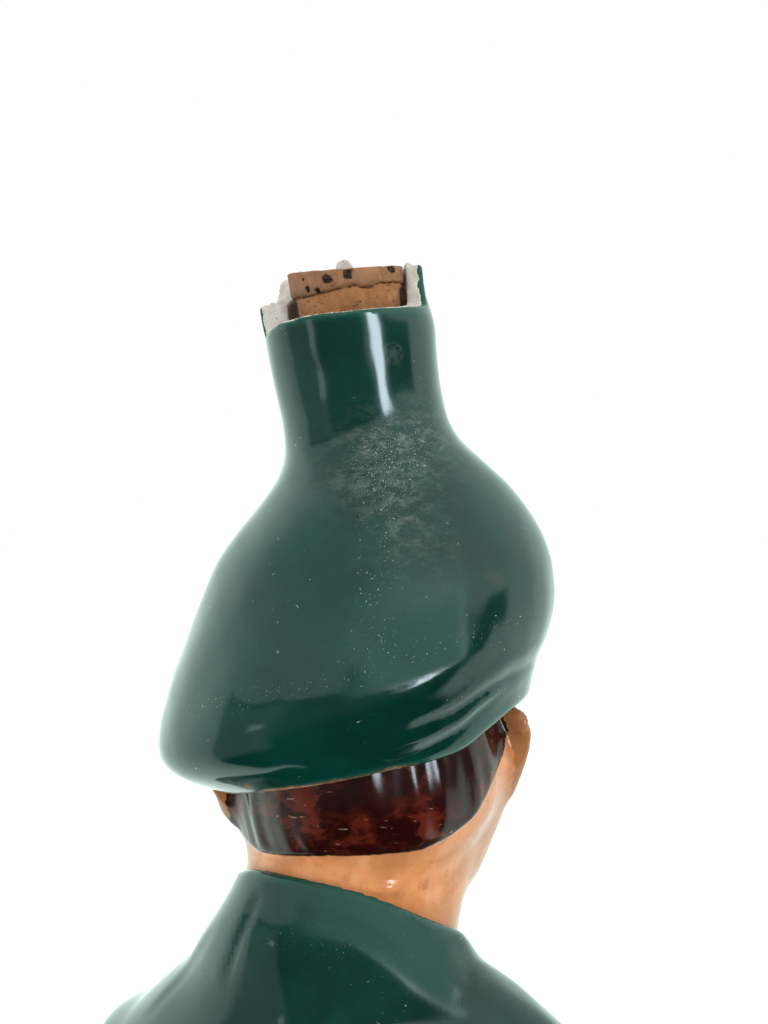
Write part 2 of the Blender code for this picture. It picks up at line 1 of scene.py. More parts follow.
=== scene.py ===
"""A figural liquor bottle: the back of a capped head and shoulders in glazed earthenware, its neck broken round a cork."""
import math

import bmesh
import bpy
import numpy as np
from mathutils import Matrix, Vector


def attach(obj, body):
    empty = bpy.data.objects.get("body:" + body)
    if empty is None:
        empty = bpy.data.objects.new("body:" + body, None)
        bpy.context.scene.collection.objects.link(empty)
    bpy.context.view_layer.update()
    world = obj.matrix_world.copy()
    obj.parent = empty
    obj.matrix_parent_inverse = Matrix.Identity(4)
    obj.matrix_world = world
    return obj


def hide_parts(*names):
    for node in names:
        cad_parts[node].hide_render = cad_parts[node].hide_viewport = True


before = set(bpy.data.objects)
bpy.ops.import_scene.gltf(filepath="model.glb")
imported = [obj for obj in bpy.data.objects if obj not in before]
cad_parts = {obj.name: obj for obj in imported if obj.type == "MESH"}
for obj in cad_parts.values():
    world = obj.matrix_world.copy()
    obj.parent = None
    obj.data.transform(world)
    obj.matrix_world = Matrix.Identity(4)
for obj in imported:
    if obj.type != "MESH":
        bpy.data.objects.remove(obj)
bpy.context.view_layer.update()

# ---------------------------------------------------------------- named sizes, millimetres and degrees
VIEW_YAW = 35.0          # the head is turned this far from the line of the shoulders
HEAD_ROLL = 9.0          # the head leans towards its left shoulder
CAP_TILT = 14.0          # slope of the cap's sections
WALL = 4.5               # thickness of the fired body
HEAD_C = (8.5, 0.0, 116.0)
CAP_C = (6.0, 140.0)
BODY_X, BODY_Y = -2.5, -1.7            # the middle of the shoulders
ROLL = 0.05                             # the right shoulder is held a little higher
FOOT_ROUND = 2.6
FOOT_HALF = (56.0, 22.5)                # half length and half depth of the recess under the foot
FOOT_RECESS = 1.6
FLOOR = 6.5                             # top of the bottle's floor above the table
CORK_TOP = (3.0, 0.0, 216.4)            # middle of the cork's top face, across, back, up
CORK_LEAN = 5.6
CORK_LENGTH = 28.0
CORK_FALL = (0.03, 0.16)                # how much its top face falls, across and backwards
BORE_R, COLLAR_R = 10.2, 12.1
LEDGE_AT, THROAT_AT = -20.5, -34.0      # along the cork's axis, from its top face

# sections across the cap and the bottle's neck: height along the sloping axis, then the edge
CAP_LEFT = [(-26, -30.0), (-20.2, -31.0), (-17.5, -35.5), (-14, -41.2), (-11.2, -43.1), (-8.5, -43.4), (-3, -41.4), (3, -38.2), (12, -32.2),
            (18, -28.1), (24, -23.7), (27, -20.9), (30, -17.2), (33, -13.0), (36, -9.3), (39, -6.4), (42, -4.9), (48, -3.9), (54, -3.8),
            (60, -3.8), (66, -3.3), (72, -2.8), (82, -1.6)]
CAP_RIGHT = [(-26, 28.6), (-21, 29.4), (-15, 31.0), (-12, 32.5), (-9, 34.1), (-6, 36.2), (-3, 38.3), (0, 39.8), (3, 40.8), (9, 41.5),
             (15, 40.9), (21, 39.0), (27, 36.0), (30, 34.0), (33, 31.9), (36, 29.9), (39, 28.6), (42, 28.2), (48, 28.5), (54, 29.4),
             (60, 30.5), (66, 30.0), (69, 30.4), (72, 30.8), (82, 31.4)]
CAP_DEPTH = [(-26, 26.5), (-21, 28.2), (-17, 31.5), (-12, 35.2), (-9, 36.6), (-6, 37.1), (-3, 36.9), (0, 36.4), (3, 35.6), (6, 34.7),
             (9, 33.7), (18, 30.2), (24, 27.3), (30, 23.3), (33, 21.0), (36, 18.9), (39, 17.4), (42, 16.6), (48, 16.3), (54, 16.6),
             (60, 17.0), (66, 17.3), (72, 17.6), (82, 18.0)]
CAP_EDGE = [(-50, 0.0), (-31, 0.3), (-20, 2.0), (-7, 0.6), (4, -0.4), (10, -1.5), (17, -2.0), (19, -1.7), (21, -0.8), (25, 0.1), (28, 0.9), (31, 0.9),
            (36, 0.5), (50, 0.2)]
# the bare neck: height, edge
NECK_LEFT = [(60, -19.5), (84, -18.0), (92, -17.2), (99, -16.4), (106, -16.0), (112, -15.6)]
NECK_RIGHT = [(60, 25.0), (84, 25.2), (88, 25.7), (92, 26.6), (96, 27.6), (104, 28.6), (112, 28.6)]
# the clothed body: height, half width, depth behind and in front
TORSO_W = [(-8, 60.0), (4, 59.5), (14, 56.0), (26, 51.5), (40, 52.0), (52, 57.0), (58, 59.0), (62, 54.8), (66.3, 49.6), (70.4, 44.6), (75, 38.7),
           (79.5, 32.8), (84.1, 27.8), (88, 24.0), (92, 20.6), (96, 17.2), (104, 11.0)]
TORSO_B = [(-8, 31.5), (0, 32.5), (20, 36.0), (40, 36.0), (54, 33.6), (62, 30.5), (70, 27.0), (76, 25.5), (82, 25.5), (88, 26.0), (92, 25.4),
           (96, 22.6), (104, 14.0)]
TORSO_F = [(-8, 32.5), (0, 33.5), (20, 38.0), (36, 38.0), (50, 35.0), (60, 30.6), (70, 25.8), (76, 21.0), (80, 16.0), (84, 12.0), (88, 10.0), (104, 8.0)]
# unevenness of the jacket's neck edge: angle round the body from the nape, height
NECK_EDGE = [(-180, 0.0), (-125, -0.6), (-109, -1.0), (-85, -0.5), (-70, 0.2), (-46, 1.3), (-20, 0.7), (-5, 0.2), (20, 0.0), (45, -0.8), (70, -0.4),
             (90, 0.0), (180, 0.0)]
EAR_OUT, EAR_LEAN = 27.0, 12.0
EAR_BACK = [(-12, 1.0), (-9.5, 3.4), (-5, 4.8), (0, 6.4), (5, 7.6), (8.5, 6.2), (10.5, 3.0), (12, 0.5)]
EAR_FORE = [(-12, 1.0), (-9.5, 2.6), (-5, 3.4), (0, 3.6), (5, 4.8), (8.5, 4.6), (10.5, 2.6), (12, 0.5)]
# the broken edge of the mouth: angle round the neck (0 behind the head, - to its left), height, and how much higher it stands inside
MOUTH = [(-180, 220.9, 0.1), (-172, 219.6, 0.2), (-166, 214.6, 0.3), (-150, 212.8, 0.4), (-144, 213.6, 0.3), (-138, 216.2, 0.3), (-133, 216.9, 0.3), (-129.5, 217.2, 0.3), (-127.5, 214.8, 0.3),
         (-124.5, 212.3, 0.2), (-118, 211.2, 0.2), (-108, 210.4, 0.2), (-99, 209.9, 0.15), (-91, 209.3, 0.15), (-86, 208.4, 0.1), (-82, 205.8, 0.1), (-76, 202.6, 0.1), (-64, 203.4, 0.1), (-50, 204.3, 0.1), (-28, 205.2, 0.1), (0, 205.8, 0.1),
         (28, 206.8, 0.1), (56, 207.8, 0.1), (71, 208.6, 0.1), (77, 212.6, 0.1), (82, 216.6, 0.1), (92, 217.4, 0.15), (118, 217.2, 0.2), (127, 214.6, 0.3),
         (140, 212.4, 0.3), (158, 213.2, 0.4), (168, 214.8, 0.3), (174, 219.8, 0.2), (180, 220.9, 0.1)]


# ---------------------------------------------------------------- curves and blends
def rot2(deg):
    a = np.radians(deg)
    return np.cos(a), np.sin(a)


def profile(knots, sigma, n=3000):
    """A smooth curve through (position, value) knots, rounded over sigma."""
    xs = np.array([k[0] for k in knots], float)
    ys = np.array([k[1] for k in knots], float)
    g = np.linspace(xs[0] - 6 * sigma, xs[-1] + 6 * sigma, n)
    y = np.interp(g, xs, ys)
    y = np.where(g < xs[0], ys[0] + (g - xs[0]) * (ys[1] - ys[0]) / (xs[1] - xs[0]), y)
    y = np.where(g > xs[-1], ys[-1] + (g - xs[-1]) * (ys[-1] - ys[-2]) / (xs[-1] - xs[-2]), y)
    step = g[1] - g[0]
    m = max(1, int(4 * sigma / step))
    k = np.exp(-0.5 * (np.arange(-m, m + 1) * step / sigma) ** 2)
    k /= k.sum()
    pad = np.concatenate([y[0] + (y[1] - y[0]) * np.arange(-m, 0), y, y[-1] + (y[-1] - y[-2]) * np.arange(1, m + 1)])
    y = np.convolve(pad, k, "valid")
    return lambda v: np.interp(v, g, y)


def smin(a, b, k):
    h = np.maximum(k - np.abs(a - b), 0.0) / k
    return np.minimum(a, b) - h * h * k * 0.25


def smax(a, b, k):
    return -smin(-a, -b, k)


def smooth(e0, e1, v):
    t = np.clip((v - e0) / (e1 - e0), 0, 1)
    return t * t * (3 - 2 * t)


def ellipsoid(x, y, z, c, r):
    px, py, pz = (x - c[0]) / r[0], (y - c[1]) / r[1], (z - c[2]) / r[2]
    k0 = np.sqrt(px * px + py * py + pz * pz)
    k1 = np.sqrt((px / r[0]) ** 2 + (py / r[1]) ** 2 + (pz / r[2]) ** 2)
    return k0 * (k0 - 1) / np.maximum(k1, 1e-9)


def sphere(x, y, z, c, r):
    return np.sqrt((x - c[0]) ** 2 + (y - c[1]) ** 2 + (z - c[2]) ** 2) - r


def capsule(x, y, z, a, b, ra, rb=None):
    rb = ra if rb is None else rb
    bx, by, bz = b[0] - a[0], b[1] - a[1], b[2] - a[2]
    px, py, pz = x - a[0], y - a[1], z - a[2]
    t = np.clip((px * bx + py * by + pz * bz) / (bx * bx + by * by + bz * bz), 0, 1)
    return np.sqrt((px - t * bx) ** 2 + (py - t * by) ** 2 + (pz - t * bz) ** 2) - (ra + t * (rb - ra))


def section(u, v, hu, hv, n=2.0):
    """A tube of superelliptic section: near its wall this is the distance to it."""
    a, b = np.abs(u / hu), np.abs(v / hv)
    if n == 2.0:
        k0 = np.sqrt(a * a + b * b)
        k1 = np.sqrt((a / hu) ** 2 + (b / hv) ** 2)
        return k0 * (k0 - 1) / np.maximum(k1, 1e-6)
    s = np.maximum(a ** n + b ** n, 1e-12)
    k1 = s ** (1 / n - 1) * np.sqrt((a ** (n - 1) / hu) ** 2 + (b ** (n - 1) / hv) ** 2)
    return (s ** (1 / n) - 1) / np.maximum(k1, 1e-6)


def by_slope(fn, args, e=0.05):
    """Turns a smooth field into a near distance, by its own slope."""
    f = fn(*args)
    g = np.zeros_like(f)
    for i in range(3):
        q = list(args)
        q[i] = q[i] + e
        g += ((fn(*q) - f) / e) ** 2
    return f / np.sqrt(np.maximum(g, 0.25))


# ---------------------------------------------------------------- frames
CY, SY = rot2(VIEW_YAW)


def to_view(P):
    """x, y, z of the body -> across the back of the head, backwards, up."""
    return -CY * P[:, 0] - SY * P[:, 1], -SY * P[:, 0] + CY * P[:, 1], P[:, 2]


def from_view(r, b, z):
    r, b, z = np.broadcast_arrays(np.asarray(r, float), np.asarray(b, float), np.asarray(z, float))
    return np.stack([-CY * r - SY * b, -SY * r + CY * b, z], -1)


def head_frame(r, b, z):
    c, s = rot2(HEAD_ROLL)
    dr, dz = r - HEAD_C[0], z - HEAD_C[2]
    return c * dr + s * dz, b - HEAD_C[1], -s * dr + c * dz


def cap_frame(r, z):
    c, s = rot2(CAP_TILT)
    dr, dz = r - CAP_C[0], z - CAP_C[1]
    return c * dr + s * dz, -s * dr + c * dz


def cork_frame(r, b, z):
    """Distance from the cork's axis and height along it, from the cork's top face."""
    c, s = rot2(CORK_LEAN)
    dr, dz = r - CORK_TOP[0], z - CORK_TOP[2]
    p, q = c * dr + s * dz, b - CORK_TOP[1]
    return np.sqrt(p * p + q * q), -s * dr + c * dz, p, q


def parts_of(P):
    x, y, z = P[:, 0], P[:, 1], P[:, 2]
    r, b, _ = to_view(P)
    u, v, w = head_frame(r, b, z)
    return x, y, z, r, b, u, v, w


# ---------------------------------------------------------------- cap and bottle neck
cap_l, cap_r, cap_d = profile(CAP_LEFT, 1.6), profile(CAP_RIGHT, 1.6), profile(CAP_DEPTH, 1.8)
edge_wave = profile(CAP_EDGE, 1.3)


def cap_tube(r, b, z):
    u, t = cap_frame(r, z)
    t = np.clip(t, -32, 84)
    left, right = cap_l(t), cap_r(t)
    return section(u - (right + left) / 2, b, (right - left) / 2, cap_d(t))


def cap_edge(r, b, z):
    """Height above the cap's lower edge, along the head's own axis."""
    u, v, w = head_frame(r, b, z)
    front = np.maximum(-v - 4, 0)
    edge = 5.2 + 0.161 * u + edge_wave(np.clip(u, -50, 50)) * smooth(-8, 8, v) + 0.0125 * front ** 2 / (1 + front / 60)
    return w - edge


def cap(r, b, z):
    return smax(by_slope(cap_tube, (r, b, z)), -cap_edge(r, b, z) / 1.02, 1.2)


# ---------------------------------------------------------------- head
def head_mass(u, v, w):
    """Skull, jaw and cheeks, without features."""
    f = ellipsoid(u, v, w, (0, -1.5, 10.0), (25.8, 27.4, 26.0))
    f = smin(f, ellipsoid(u, v, w, (0, 4.0, -3.0), (24.2, 21.8, 17.0)), 8)
    return smin(f, ellipsoid(u, v, w, (0, -9.0, -9.0), (20.5, 19.0, 23.0)), 8)


def face(u, v, w):
    f = head_mass(u, v, w)
    a = np.abs(u)
    f = smin(f, sphere(a, v, w, (13.5, -15.5, -8.5), 9.0), 7)                                  # cheekbones
    f = smin(f, capsule(a, v, w, (25.6, 1.0, 1.0), (13.6, -3.5, -19.0), 4.2, 5.0), 7)          # jaw, from the ear down
    f = smin(f, ellipsoid(u, v, w, (0, -21.0, -29.0), (8.5, 7.0, 7.0)), 6)                     # chin
    f = smin(f, ellipsoid(u, v, w, (0, -21.0, -20.0), (10.5, 7.2, 6.0)), 6)                    # round of the mouth
    f = smin(f, capsule(a, v, w, (3.5, -23.6, 9.0), (14.5, -19.5, 8.0), 3.6, 3.0), 4)          # brow
    f = smax(f, -ellipsoid(a, v, w, (10.6, -29.2, 2.2), (6.2, 5.2, 3.9)), 3.5)                 # eye sockets
    ball = sphere(a, v, w, (10.4, -19.6, 2.2), 6.0)
    lid = sphere(a, v, w, (10.4, -19.6, 2.2), 6.75)
    x = a - 10.5
    up = 2.2 + 2.0 * (1 - (x / 5.4) ** 2) + 0.03 * x
    dn = 2.2 - 1.7 * (1 - (x / 5.6) ** 2) + 0.03 * x
    lid = smax(lid, -np.maximum(w - up, dn - w), 0.5)
    f = smin(f, lid, 1.2)
    f = smin(f, ball, 0.35)
    f = smin(f, capsule(u, v, w, (0, -24.5, 6.5), (0, -31.8, -7.8), 2.2, 3.4), 2.6)            # nose
    f = smin(f, sphere(u, v, w, (0, -32.6, -8.6), 3.5), 2.0)
    f = smin(f, ellipsoid(a, v, w, (4.0, -28.6, -9.9), (2.5, 3.6, 2.5)), 1.6)
    f = smax(f, -ellipsoid(a, v, w, (2.1, -31.0, -12.2), (1.1, 1.9, 1.3)), 0.8)
    line = -20.3 + 0.9 * (u / 8.6) ** 2 - 0.35 * np.exp(-(u / 1.6) ** 2)
    top = ellipsoid(a, v, w - 0.08 * a, (3.0, -26.6, -18.6), (5.6, 2.2, 1.9))                  # lips
    low = ellipsoid(u, v, w - 0.06 * a, (0, -26.4, -22.6), (6.6, 2.5, 2.3))
    f = smin(f, top, 1.6)
    f = smin(f, low, 1.8)
    groove = np.sqrt(((w - line) / 1.0) ** 2 + ((v + 29.6) / 2.6) ** 2) - 0.75
    f = smax(f, -np.maximum(groove, a - 7.6), 0.9)
    return smax(f, -capsule(u, v, w, (0, -30.6, -15.6), (0, -29.8, -13.2), 0.9), 1.2)


ear_back, ear_fore = profile(EAR_BACK, 0.9), profile(EAR_FORE, 0.9)


def ear_frame(u, v, w):
    """Out of the ear's shell, back along it, up."""
    a = np.abs(u) + np.where(u < 0, 1.0, 0.0)
    x, y, z = a - 26.6, v - 1.0, w - 0.8
    low = np.maximum(1.5 - z, 0)
    x = x + 0.036 * low ** 2 / (1 + 0.05 * low)
    c, s = rot2(EAR_LEAN)
    z, y = c * z + s * y, -s * z + c * y
    c, s = rot2(EAR_OUT)
    return c * x - s * y, s * x + c * y, z


def ear(u, v, w):
    n, q, z = ear_frame(u, v, w)
    zz = np.clip(z, -12, 12)
    edge = (np.abs(q) - np.where(q > 0, ear_back(zz), ear_fore(zz))) * 0.8
    edge = smax(edge, np.abs(z) - 10.6, 3.0)
    n = n - 0.035 * q * q + 0.3
    shell = smax(np.abs(n - 0.4) - 1.5, edge, 2.2)
    shell = smax(shell, -ellipsoid(n, q, z, (2.6, 0.2, 0.2), (2.4, 4.6, 7.0)), 1.2)            # inside of the rim
    shell = smax(shell, -ellipsoid(n, q, z, (2.0, -1.0, -2.4), (2.6, 3.1, 3.6)), 1.0)          # hollow
    shell = smin(shell, capsule(n, q, z, (0.8, 2.0, -4.6), (0.8, 2.9, 1.0), 0.9), 1.0)
    shell = smin(shell, capsule(n, q, z, (0.8, 2.9, 1.0), (0.7, 0.2, 4.6), 0.9), 1.0)
    shell = smin(shell, sphere(n, q, z, (1.5, -3.3, -2.6), 1.5), 1.0)
    root = capsule(n, q, z, (-2.8, -1.2, -6.0), (-2.8, -0.8, 6.0), 2.2)
    return smin(shell, root, 2.0)


# ---------------------------------------------------------------- neck and clothed shoulders
neck_l, neck_r = profile(NECK_LEFT, 2.0), profile(NECK_RIGHT, 2.0)


def neck_column(r, b, z):
    zz = np.clip(z, 56, 114)
    left, right = neck_l(zz), neck_r(zz)
    return section(r - (left + right) / 2, b - 1.5 + 0.05 * (zz - 90), (right - left) / 2, 20.6)


neck_wave = profile(NECK_EDGE, 5.0)
torso_w, torso_b, torso_f = profile(TORSO_W, 1.8), profile(TORSO_B, 2.6), profile(TORSO_F, 3.0)


def torso_tube(x, y, z):
    zz = np.clip(z + ROLL * x * smooth(30, 60, z), -12, 112)
    k = smooth(-6, 6, y)
    return section(x, y, torso_w(zz), torso_b(zz) * k + torso_f(zz) * (1 - k), 2.15)


def back_wall(r, z):
    """How far back the cloth reaches behind the right shoulder, nearly upright under the slope of the shoulder."""
    low = 74 - z
    return 23.7 - 0.0042 * np.maximum(r - 6, 0) ** 2 + 0.012 * np.minimum(r, 0) ** 2 + 0.09 * np.maximum(88 - z, 0) + 0.45 * (low + np.sqrt(low ** 2 + 16))


def torso(x, y, z):
    wall = -SY * x + CY * y - back_wall(-CY * x - SY * y, z)
    x, y = x - BODY_X, y - BODY_Y
    f = smax(by_slope(torso_tube, (x - 1.5 * smooth(74, 84, z), y, z)), wall * 0.97, 5)
    arm = capsule(np.abs(x), y, z - 45.4 + ROLL * x, (51.5, 0.5, 0.0), (53.5, -1.5, -60.0), 16.0, 15.0)
    return smin(f, arm, 9)


def jacket_form(x, y, z, r, b):
    """The jacket's outside, drawn up thinly against the neck."""
    return smin(torso(x, y, z), neck_column(r, b, z) - 0.45, 4.5)


def neckline(x, y):
    """Height of the jacket's neck edge, high at the nape and low at the throat."""
    al = np.arctan2(x - BODY_X, y - BODY_Y + 0.5)
    q = al - np.radians(3) * (0.5 + 0.5 * np.cos(al))
    return 90.2 + 9.9 * np.cos(q) - 10.0 * smooth(1.7, np.pi, np.abs(al)) + neck_wave(np.degrees(al))


# ---------------------------------------------------------------- mouth, hollow and foot
mouth_z, mouth_in = profile([m[:2] for m in MOUTH], 1.8), profile([(m[0], m[2]) for m in MOUTH], 3.0)


def mouth_top(r, b, z):
    """Height above the broken edge of the mouth."""
    d, s, p, q = cork_frame(r, b, z)
    th = np.degrees(np.arctan2(p, q))
    k = smooth(6.0, 9.5, d)
    return z - 210.0 - k * (mouth_z(th) - 210.0 + mouth_in(th) * (15.0 - np.clip(d, 9.0, 19.0)))


def bore(r, b, z):
    """The collar's socket and the bore that holds the cork."""
    d, s, p, q = cork_frame(r, b, z)
    wide = smax(d - COLLAR_R, LEDGE_AT - s, 0.6)
    narrow = np.maximum(d - BORE_R, THROAT_AT - 6 - s)
    return np.minimum(wide, narrow)


def hollow(P):
    """The inside of the vessel, below the bore."""
    x, y, z, r, b, u, v, w = parts_of(P)
    f = smax(by_slope(cap_tube, (r, b, z)), -cap_edge(r, b, z), 4)
    d, s, p, q = cork_frame(r, b, z)
    f = smax(f, s - THROAT_AT - WALL, 3)
    f = smin(f, head_mass(u, v, w), 6)
    f = smin(f, smax(neck_column(r, b, z), z - 112, 4), 8)
    f = smin(f, smax(torso(x, y, z), (z - neckline(x, y)) * 0.85, 4), 8)
    return smax(f + WALL, FLOOR - z, 3)


# ---------------------------------------------------------------- fine relief of the glazed surfaces
def bump(d, width):
    return np.exp(-(d / width) ** 2)


def waves(P, length, seed, n=9):
    """Smooth irregular undulation of unit size, of about the given wave length."""
    rng = np.random.default_rng(seed)
    way = rng.normal(size=(n, 3))
    way /= np.linalg.norm(way, axis=1, keepdims=True)
    k = way * (2 * np.pi / length) * rng.uniform(0.75, 1.3, (n, 1))
    ph = rng.uniform(0, 2 * np.pi, n)
    out = np.zeros(len(P))
    for i in range(n):
        out += np.sin(P @ k[i] + ph[i])
    return out / math.sqrt(n / 2)


crest_2 = profile([(0, 9.0), (21, 9.3), (32, 9.9), (46, 10.1), (63, 9.9), (80, 9.9)], 4)
vale_2 = profile([(0, 7.2), (13, 7.7), (24, 8.6), (32, 8.4), (48, 7.3), (62, 6.9), (80, 6.9)], 4)
crest_3 = profile([(0, 4.4), (9, 4.6), (17, 5.1), (27, 5.7), (37, 6.3), (50, 5.4), (80, 5.0)], 4)
vale_3 = profile([(0, 1.6), (14, 2.1), (30, 4.1), (42, 5.0), (56, 5.6), (80, 5.8)], 4)
ridge_at = profile([(-40, 2.0), (-20, -1.2), (-10.7, -2.8), (-0.4, -4.5), (3.9, -5.2), (7, -5.5), (10, -5.4), (13.3, -4.6), (18, -2.9), (22, -1.8),
                    (40, 4.0)], 1.5)
FOLD_2, FOLD_3 = 0.42, 0.5


def cap_relief(P, r, b, z):
    """Soft folds pressed into the cap beside the band, and the unevenness of hand finishing."""
    u, v, w = head_frame(r, b, z)
    al = np.degrees(np.arctan2(u, v))
    e = cap_edge(r, b, z)
    g = np.zeros(len(r))
    k = (e < 20) & (al > -5) & (al < 95) & (v > -20)
    a, h = al[k], e[k]
    fade2 = smooth(12, 24, a) * (1 - 0.7 * smooth(50, 74, a))
    fade3 = smooth(2, 14, a) * (1 - smooth(44, 70, a))
    g[k] = (FOLD_2 * fade2 * bump(h - crest_2(a), 1.5) - 0.85 * FOLD_2 * fade2 * bump(h - vale_2(a), 0.85)
            + FOLD_3 * fade3 * bump(h - crest_3(a), 1.2) - 0.85 * FOLD_3 * fade3 * bump(h - vale_3(a), 0.9))
    cu, ct = cap_frame(r, z)
    g -= 0.30 * bump(np.sqrt((cu + 0.1) ** 2 + (0.8 * (ct + 3.4)) ** 2), 2.6) * (b > 0)
    g += (0.16 + 0.36 * smooth(-6, 5, cu)) * bump(ct - ridge_at(cu), 3.0) * (b > 0) * smooth(-26, -16, cu) * smooth(27, 20, cu)
    rim = smooth(205, 198, z)
    g += 0.055 * waves(P, 17.0, 3) + 0.02 * waves(P, 7.5, 5) * rim
    return g


HAIRLINE = [(-200, 9), (-98, 9), (-92, 3), (-87, -2), (-80, -5.2), (-72, -7.6), (-60, -9.0), (-34, -9.1), (-20, -9.3), (8, -10.7), (17, -11.1),
            (25, -10.5), (31, -9.9), (36, -8.9), (42, -7.9), (46, -6.6), (50, -4.7), (56, -2.7), (62, -1.0), (69, 1.3), (73, 4.2), (75.5, 9.0), (79, 13),
            (200, 13)]
hairline = profile(HAIRLINE, 1.3)


def hair_at(u, v, w):
    """How far inside the painted hair: round the nape, and a short lock in front of each ear."""
    psi = np.degrees(np.arctan2(u, v + 1.5))
    nape = w - hairline(psi)
    q = (np.abs(psi) - 107 + 0.25 * (w - 4)) * 0.45
    lock = 3.2 - 0.12 * np.maximum(6 - w, 0) - np.abs(q)
    lock = np.minimum(lock, w + 3.5)
    return np.maximum(np.where(np.abs(psi) < 99, nape, -9), np.where(np.abs(psi) > 90, lock, -9)), psi


def hair_relief(psi, w):
    a = np.radians(psi)
    slow = 0.62 + 0.38 * np.sin(w / 5.1 + 3.3 * a)
    f = 0.15 * np.sin(a * 25.7 + 0.35 * np.sin(w / 6) + 0.9) + 0.085 * np.sin(a * 40 + 1.7 + 0.4 * np.sin(w / 4 + 2))
    return slow * f + 0.10 * np.sin(a * 13.3 + 2.2)


def head_relief(P, u, v, w):
    hair, psi = hair_at(u, v, w)
    back = smooth(-12, -4, v)
    g = smooth(-0.35, 0.45, hair) * (0.42 + hair_relief(psi, w) * smooth(-0.2, 2.6, hair) * (0.35 + 0.65 * back))
    g += 0.035 * waves(P, 15.0, 11) * back
    r, b, z = to_view(P)
    g += 0.95 * bump(np.sqrt(((r - 11.4) / 3.6) ** 2 + ((z - 98.8) / 1.35) ** 2), 1.0) * smooth(0.3, 1.2, z - neckline(P[:, 0], P[:, 1])) * (b > 0)      # a blister in the glaze of the neck
    return g


shelf = profile([(-12, 97.5), (-2.6, 96.3), (3.9, 95.4), (10.3, 92.1), (16.8, 86.7), (23.4, 82.7), (30.1, 78.0), (36.8, 73.7), (50, 64)], 2.0)
groove_x = profile([(70, 12.5), (80, 9.4), (85, 7.2), (90, 4.8), (95, 3.4), (100, 3.0)], 2.5)


def jacket_relief(P, x, y, z):
    bx = x - BODY_X
    r, b, _ = to_view(P)
    g = np.zeros(len(x))
    back, front = smooth(4, 12, y), smooth(-6, -14, y)
    g -= 0.30 * bump(bx + 0.4, 1.0) * smooth(4, 10, z) * smooth(74, 62, z) * back              # seam down the back
    q = z - shelf(r)
    g += 0.62 * np.exp(-(np.sqrt(q ** 2 + 0.16) - 0.4) / 2.6) * smooth(-7, -1, r) * smooth(46, 36, r) * smooth(6, 12, b)     # ridge under the slope of the shoulder
    fold = smooth(76, 84, z) * smooth(98, 94, z) * back
    q = bx - groove_x(np.clip(z, 70, 100))
    g += fold * (-0.32 * bump(q, 1.1) + 0.12 * bump(q - 3.0, 2.4))          # soft fold beside the nape
    q = bx - 22.0 + 0.9 * (z - 80)
    g += 0.16 * (bump(q - 2.2, 2.0) - bump(q, 1.6)) * smooth(64, 70, z) * smooth(90, 84, z) * back       # slack over the left shoulder
    g -= 0.55 * bump(bx - 3.2, 0.55) * front * smooth(4, 10, z)                                # closing edge down the chest
    g += 0.35 * smooth(3.2, 2.6, bx) * smooth(-9, -7, bx) * front * smooth(4, 10, z)
    for h in (16.0, 33.0, 50.0):                                                               # buttons
        d = np.sqrt((bx + 2.6) ** 2 + (z - h) ** 2)
        g += front * np.where(d < 4, 1.0 * np.sqrt(np.maximum(1 - (d / 3.3) ** 2, 0)) ** 0.7 - 0.3 * bump(d - 2.2, 0.5), 0)
    edge = neckline(x, y) - z
    roll = smooth(2, -10, y)
    g += (0.04 + 0.30 * roll) * bump(edge - 1.7, 1.5) - 0.22 * roll * bump(edge - 4.6, 1.0)     # rolled neck edge at the throat
    for side in (-1, 1):                                                                       # arm seams and elbow creases
        q = np.abs(bx) * 1.0 - (43.0 + 2.5 * np.sin(z / 17.0) - 0.06 * (z - 30))
        g -= 0.45 * bump(q, 1.8) * smooth(58, 44, z) * (np.sign(bx) == side) * (1 - 0.5 * smooth(12, 2, z))
        k = (np.sign(bx) == side) * smooth(45, 50, np.abs(bx)) * smooth(40, 30, np.abs(z - 24) * 2)
        g += 0.30 * k * np.sin(z / 3.1 + 0.09 * y * side + 0.35 * np.sin(y / 6.0) + (1.0 if side > 0 else 2.4))
    for da, dz, rad, deep in ((38.6, -3.0, 0.9, 0.5), (36.4, -5.0, 0.55, 0.35)):               # pits in the glaze below the neck edge
        d = np.sqrt((r - (-12.0 + da)) ** 2 + (0.7 * (z - 84.5 - dz)) ** 2)
        g -= deep * bump(d, rad) * (b > 0)
    g += 0.06 * waves(P, 21.0, 23) + 0.02 * waves(P, 9.0, 29)
    return g


def chipped(P, th):
    """Roughness of the broken clay, where the mouth is broken away."""
    broken = np.maximum(smooth(-74, -84, th), smooth(70, 80, th))
    return broken * (0.16 * waves(P, 3.4, 41) + 0.10 * waves(P, 1.6, 43)) + 0.03 * waves(P, 5.0, 47)


# ---------------------------------------------------------------- the solids to be skinned, negative inside the clay
def inside_of(P):
    x, y, z, r, b, u, v, w = parts_of(P)
    return smin(hollow(P), bore(r, b, z), 1.2)


def cap_solid(P):
    x, y, z, r, b, u, v, w = parts_of(P)
    f = by_slope(cap_tube, (r, b, z)) - cap_relief(P, r, b, z)
    f = smax(f, -cap_edge(r, b, z) / 1.02, 1.2)
    return smax(smax(f, broken_top(P, r, b, z), 0.35), -inside_of(P), 0.45)


def broken_top(P, r, b, z):
    d, s, p, q = cork_frame(r, b, z)
    th = np.degrees(np.arctan2(p, q))
    return (mouth_top(r, b, z) + chipped(P, th)) * 0.7


def skin_surface(P):
    x, y, z, r, b, u, v, w = parts_of(P)
    neck = neck_column(r, b, z)
    f = smin(face(u, v, w), np.maximum(neck, z - 112), 4)
    f = smin(f, ear(u, v, w), 2.2)
    return f - head_relief(P, u, v, w)


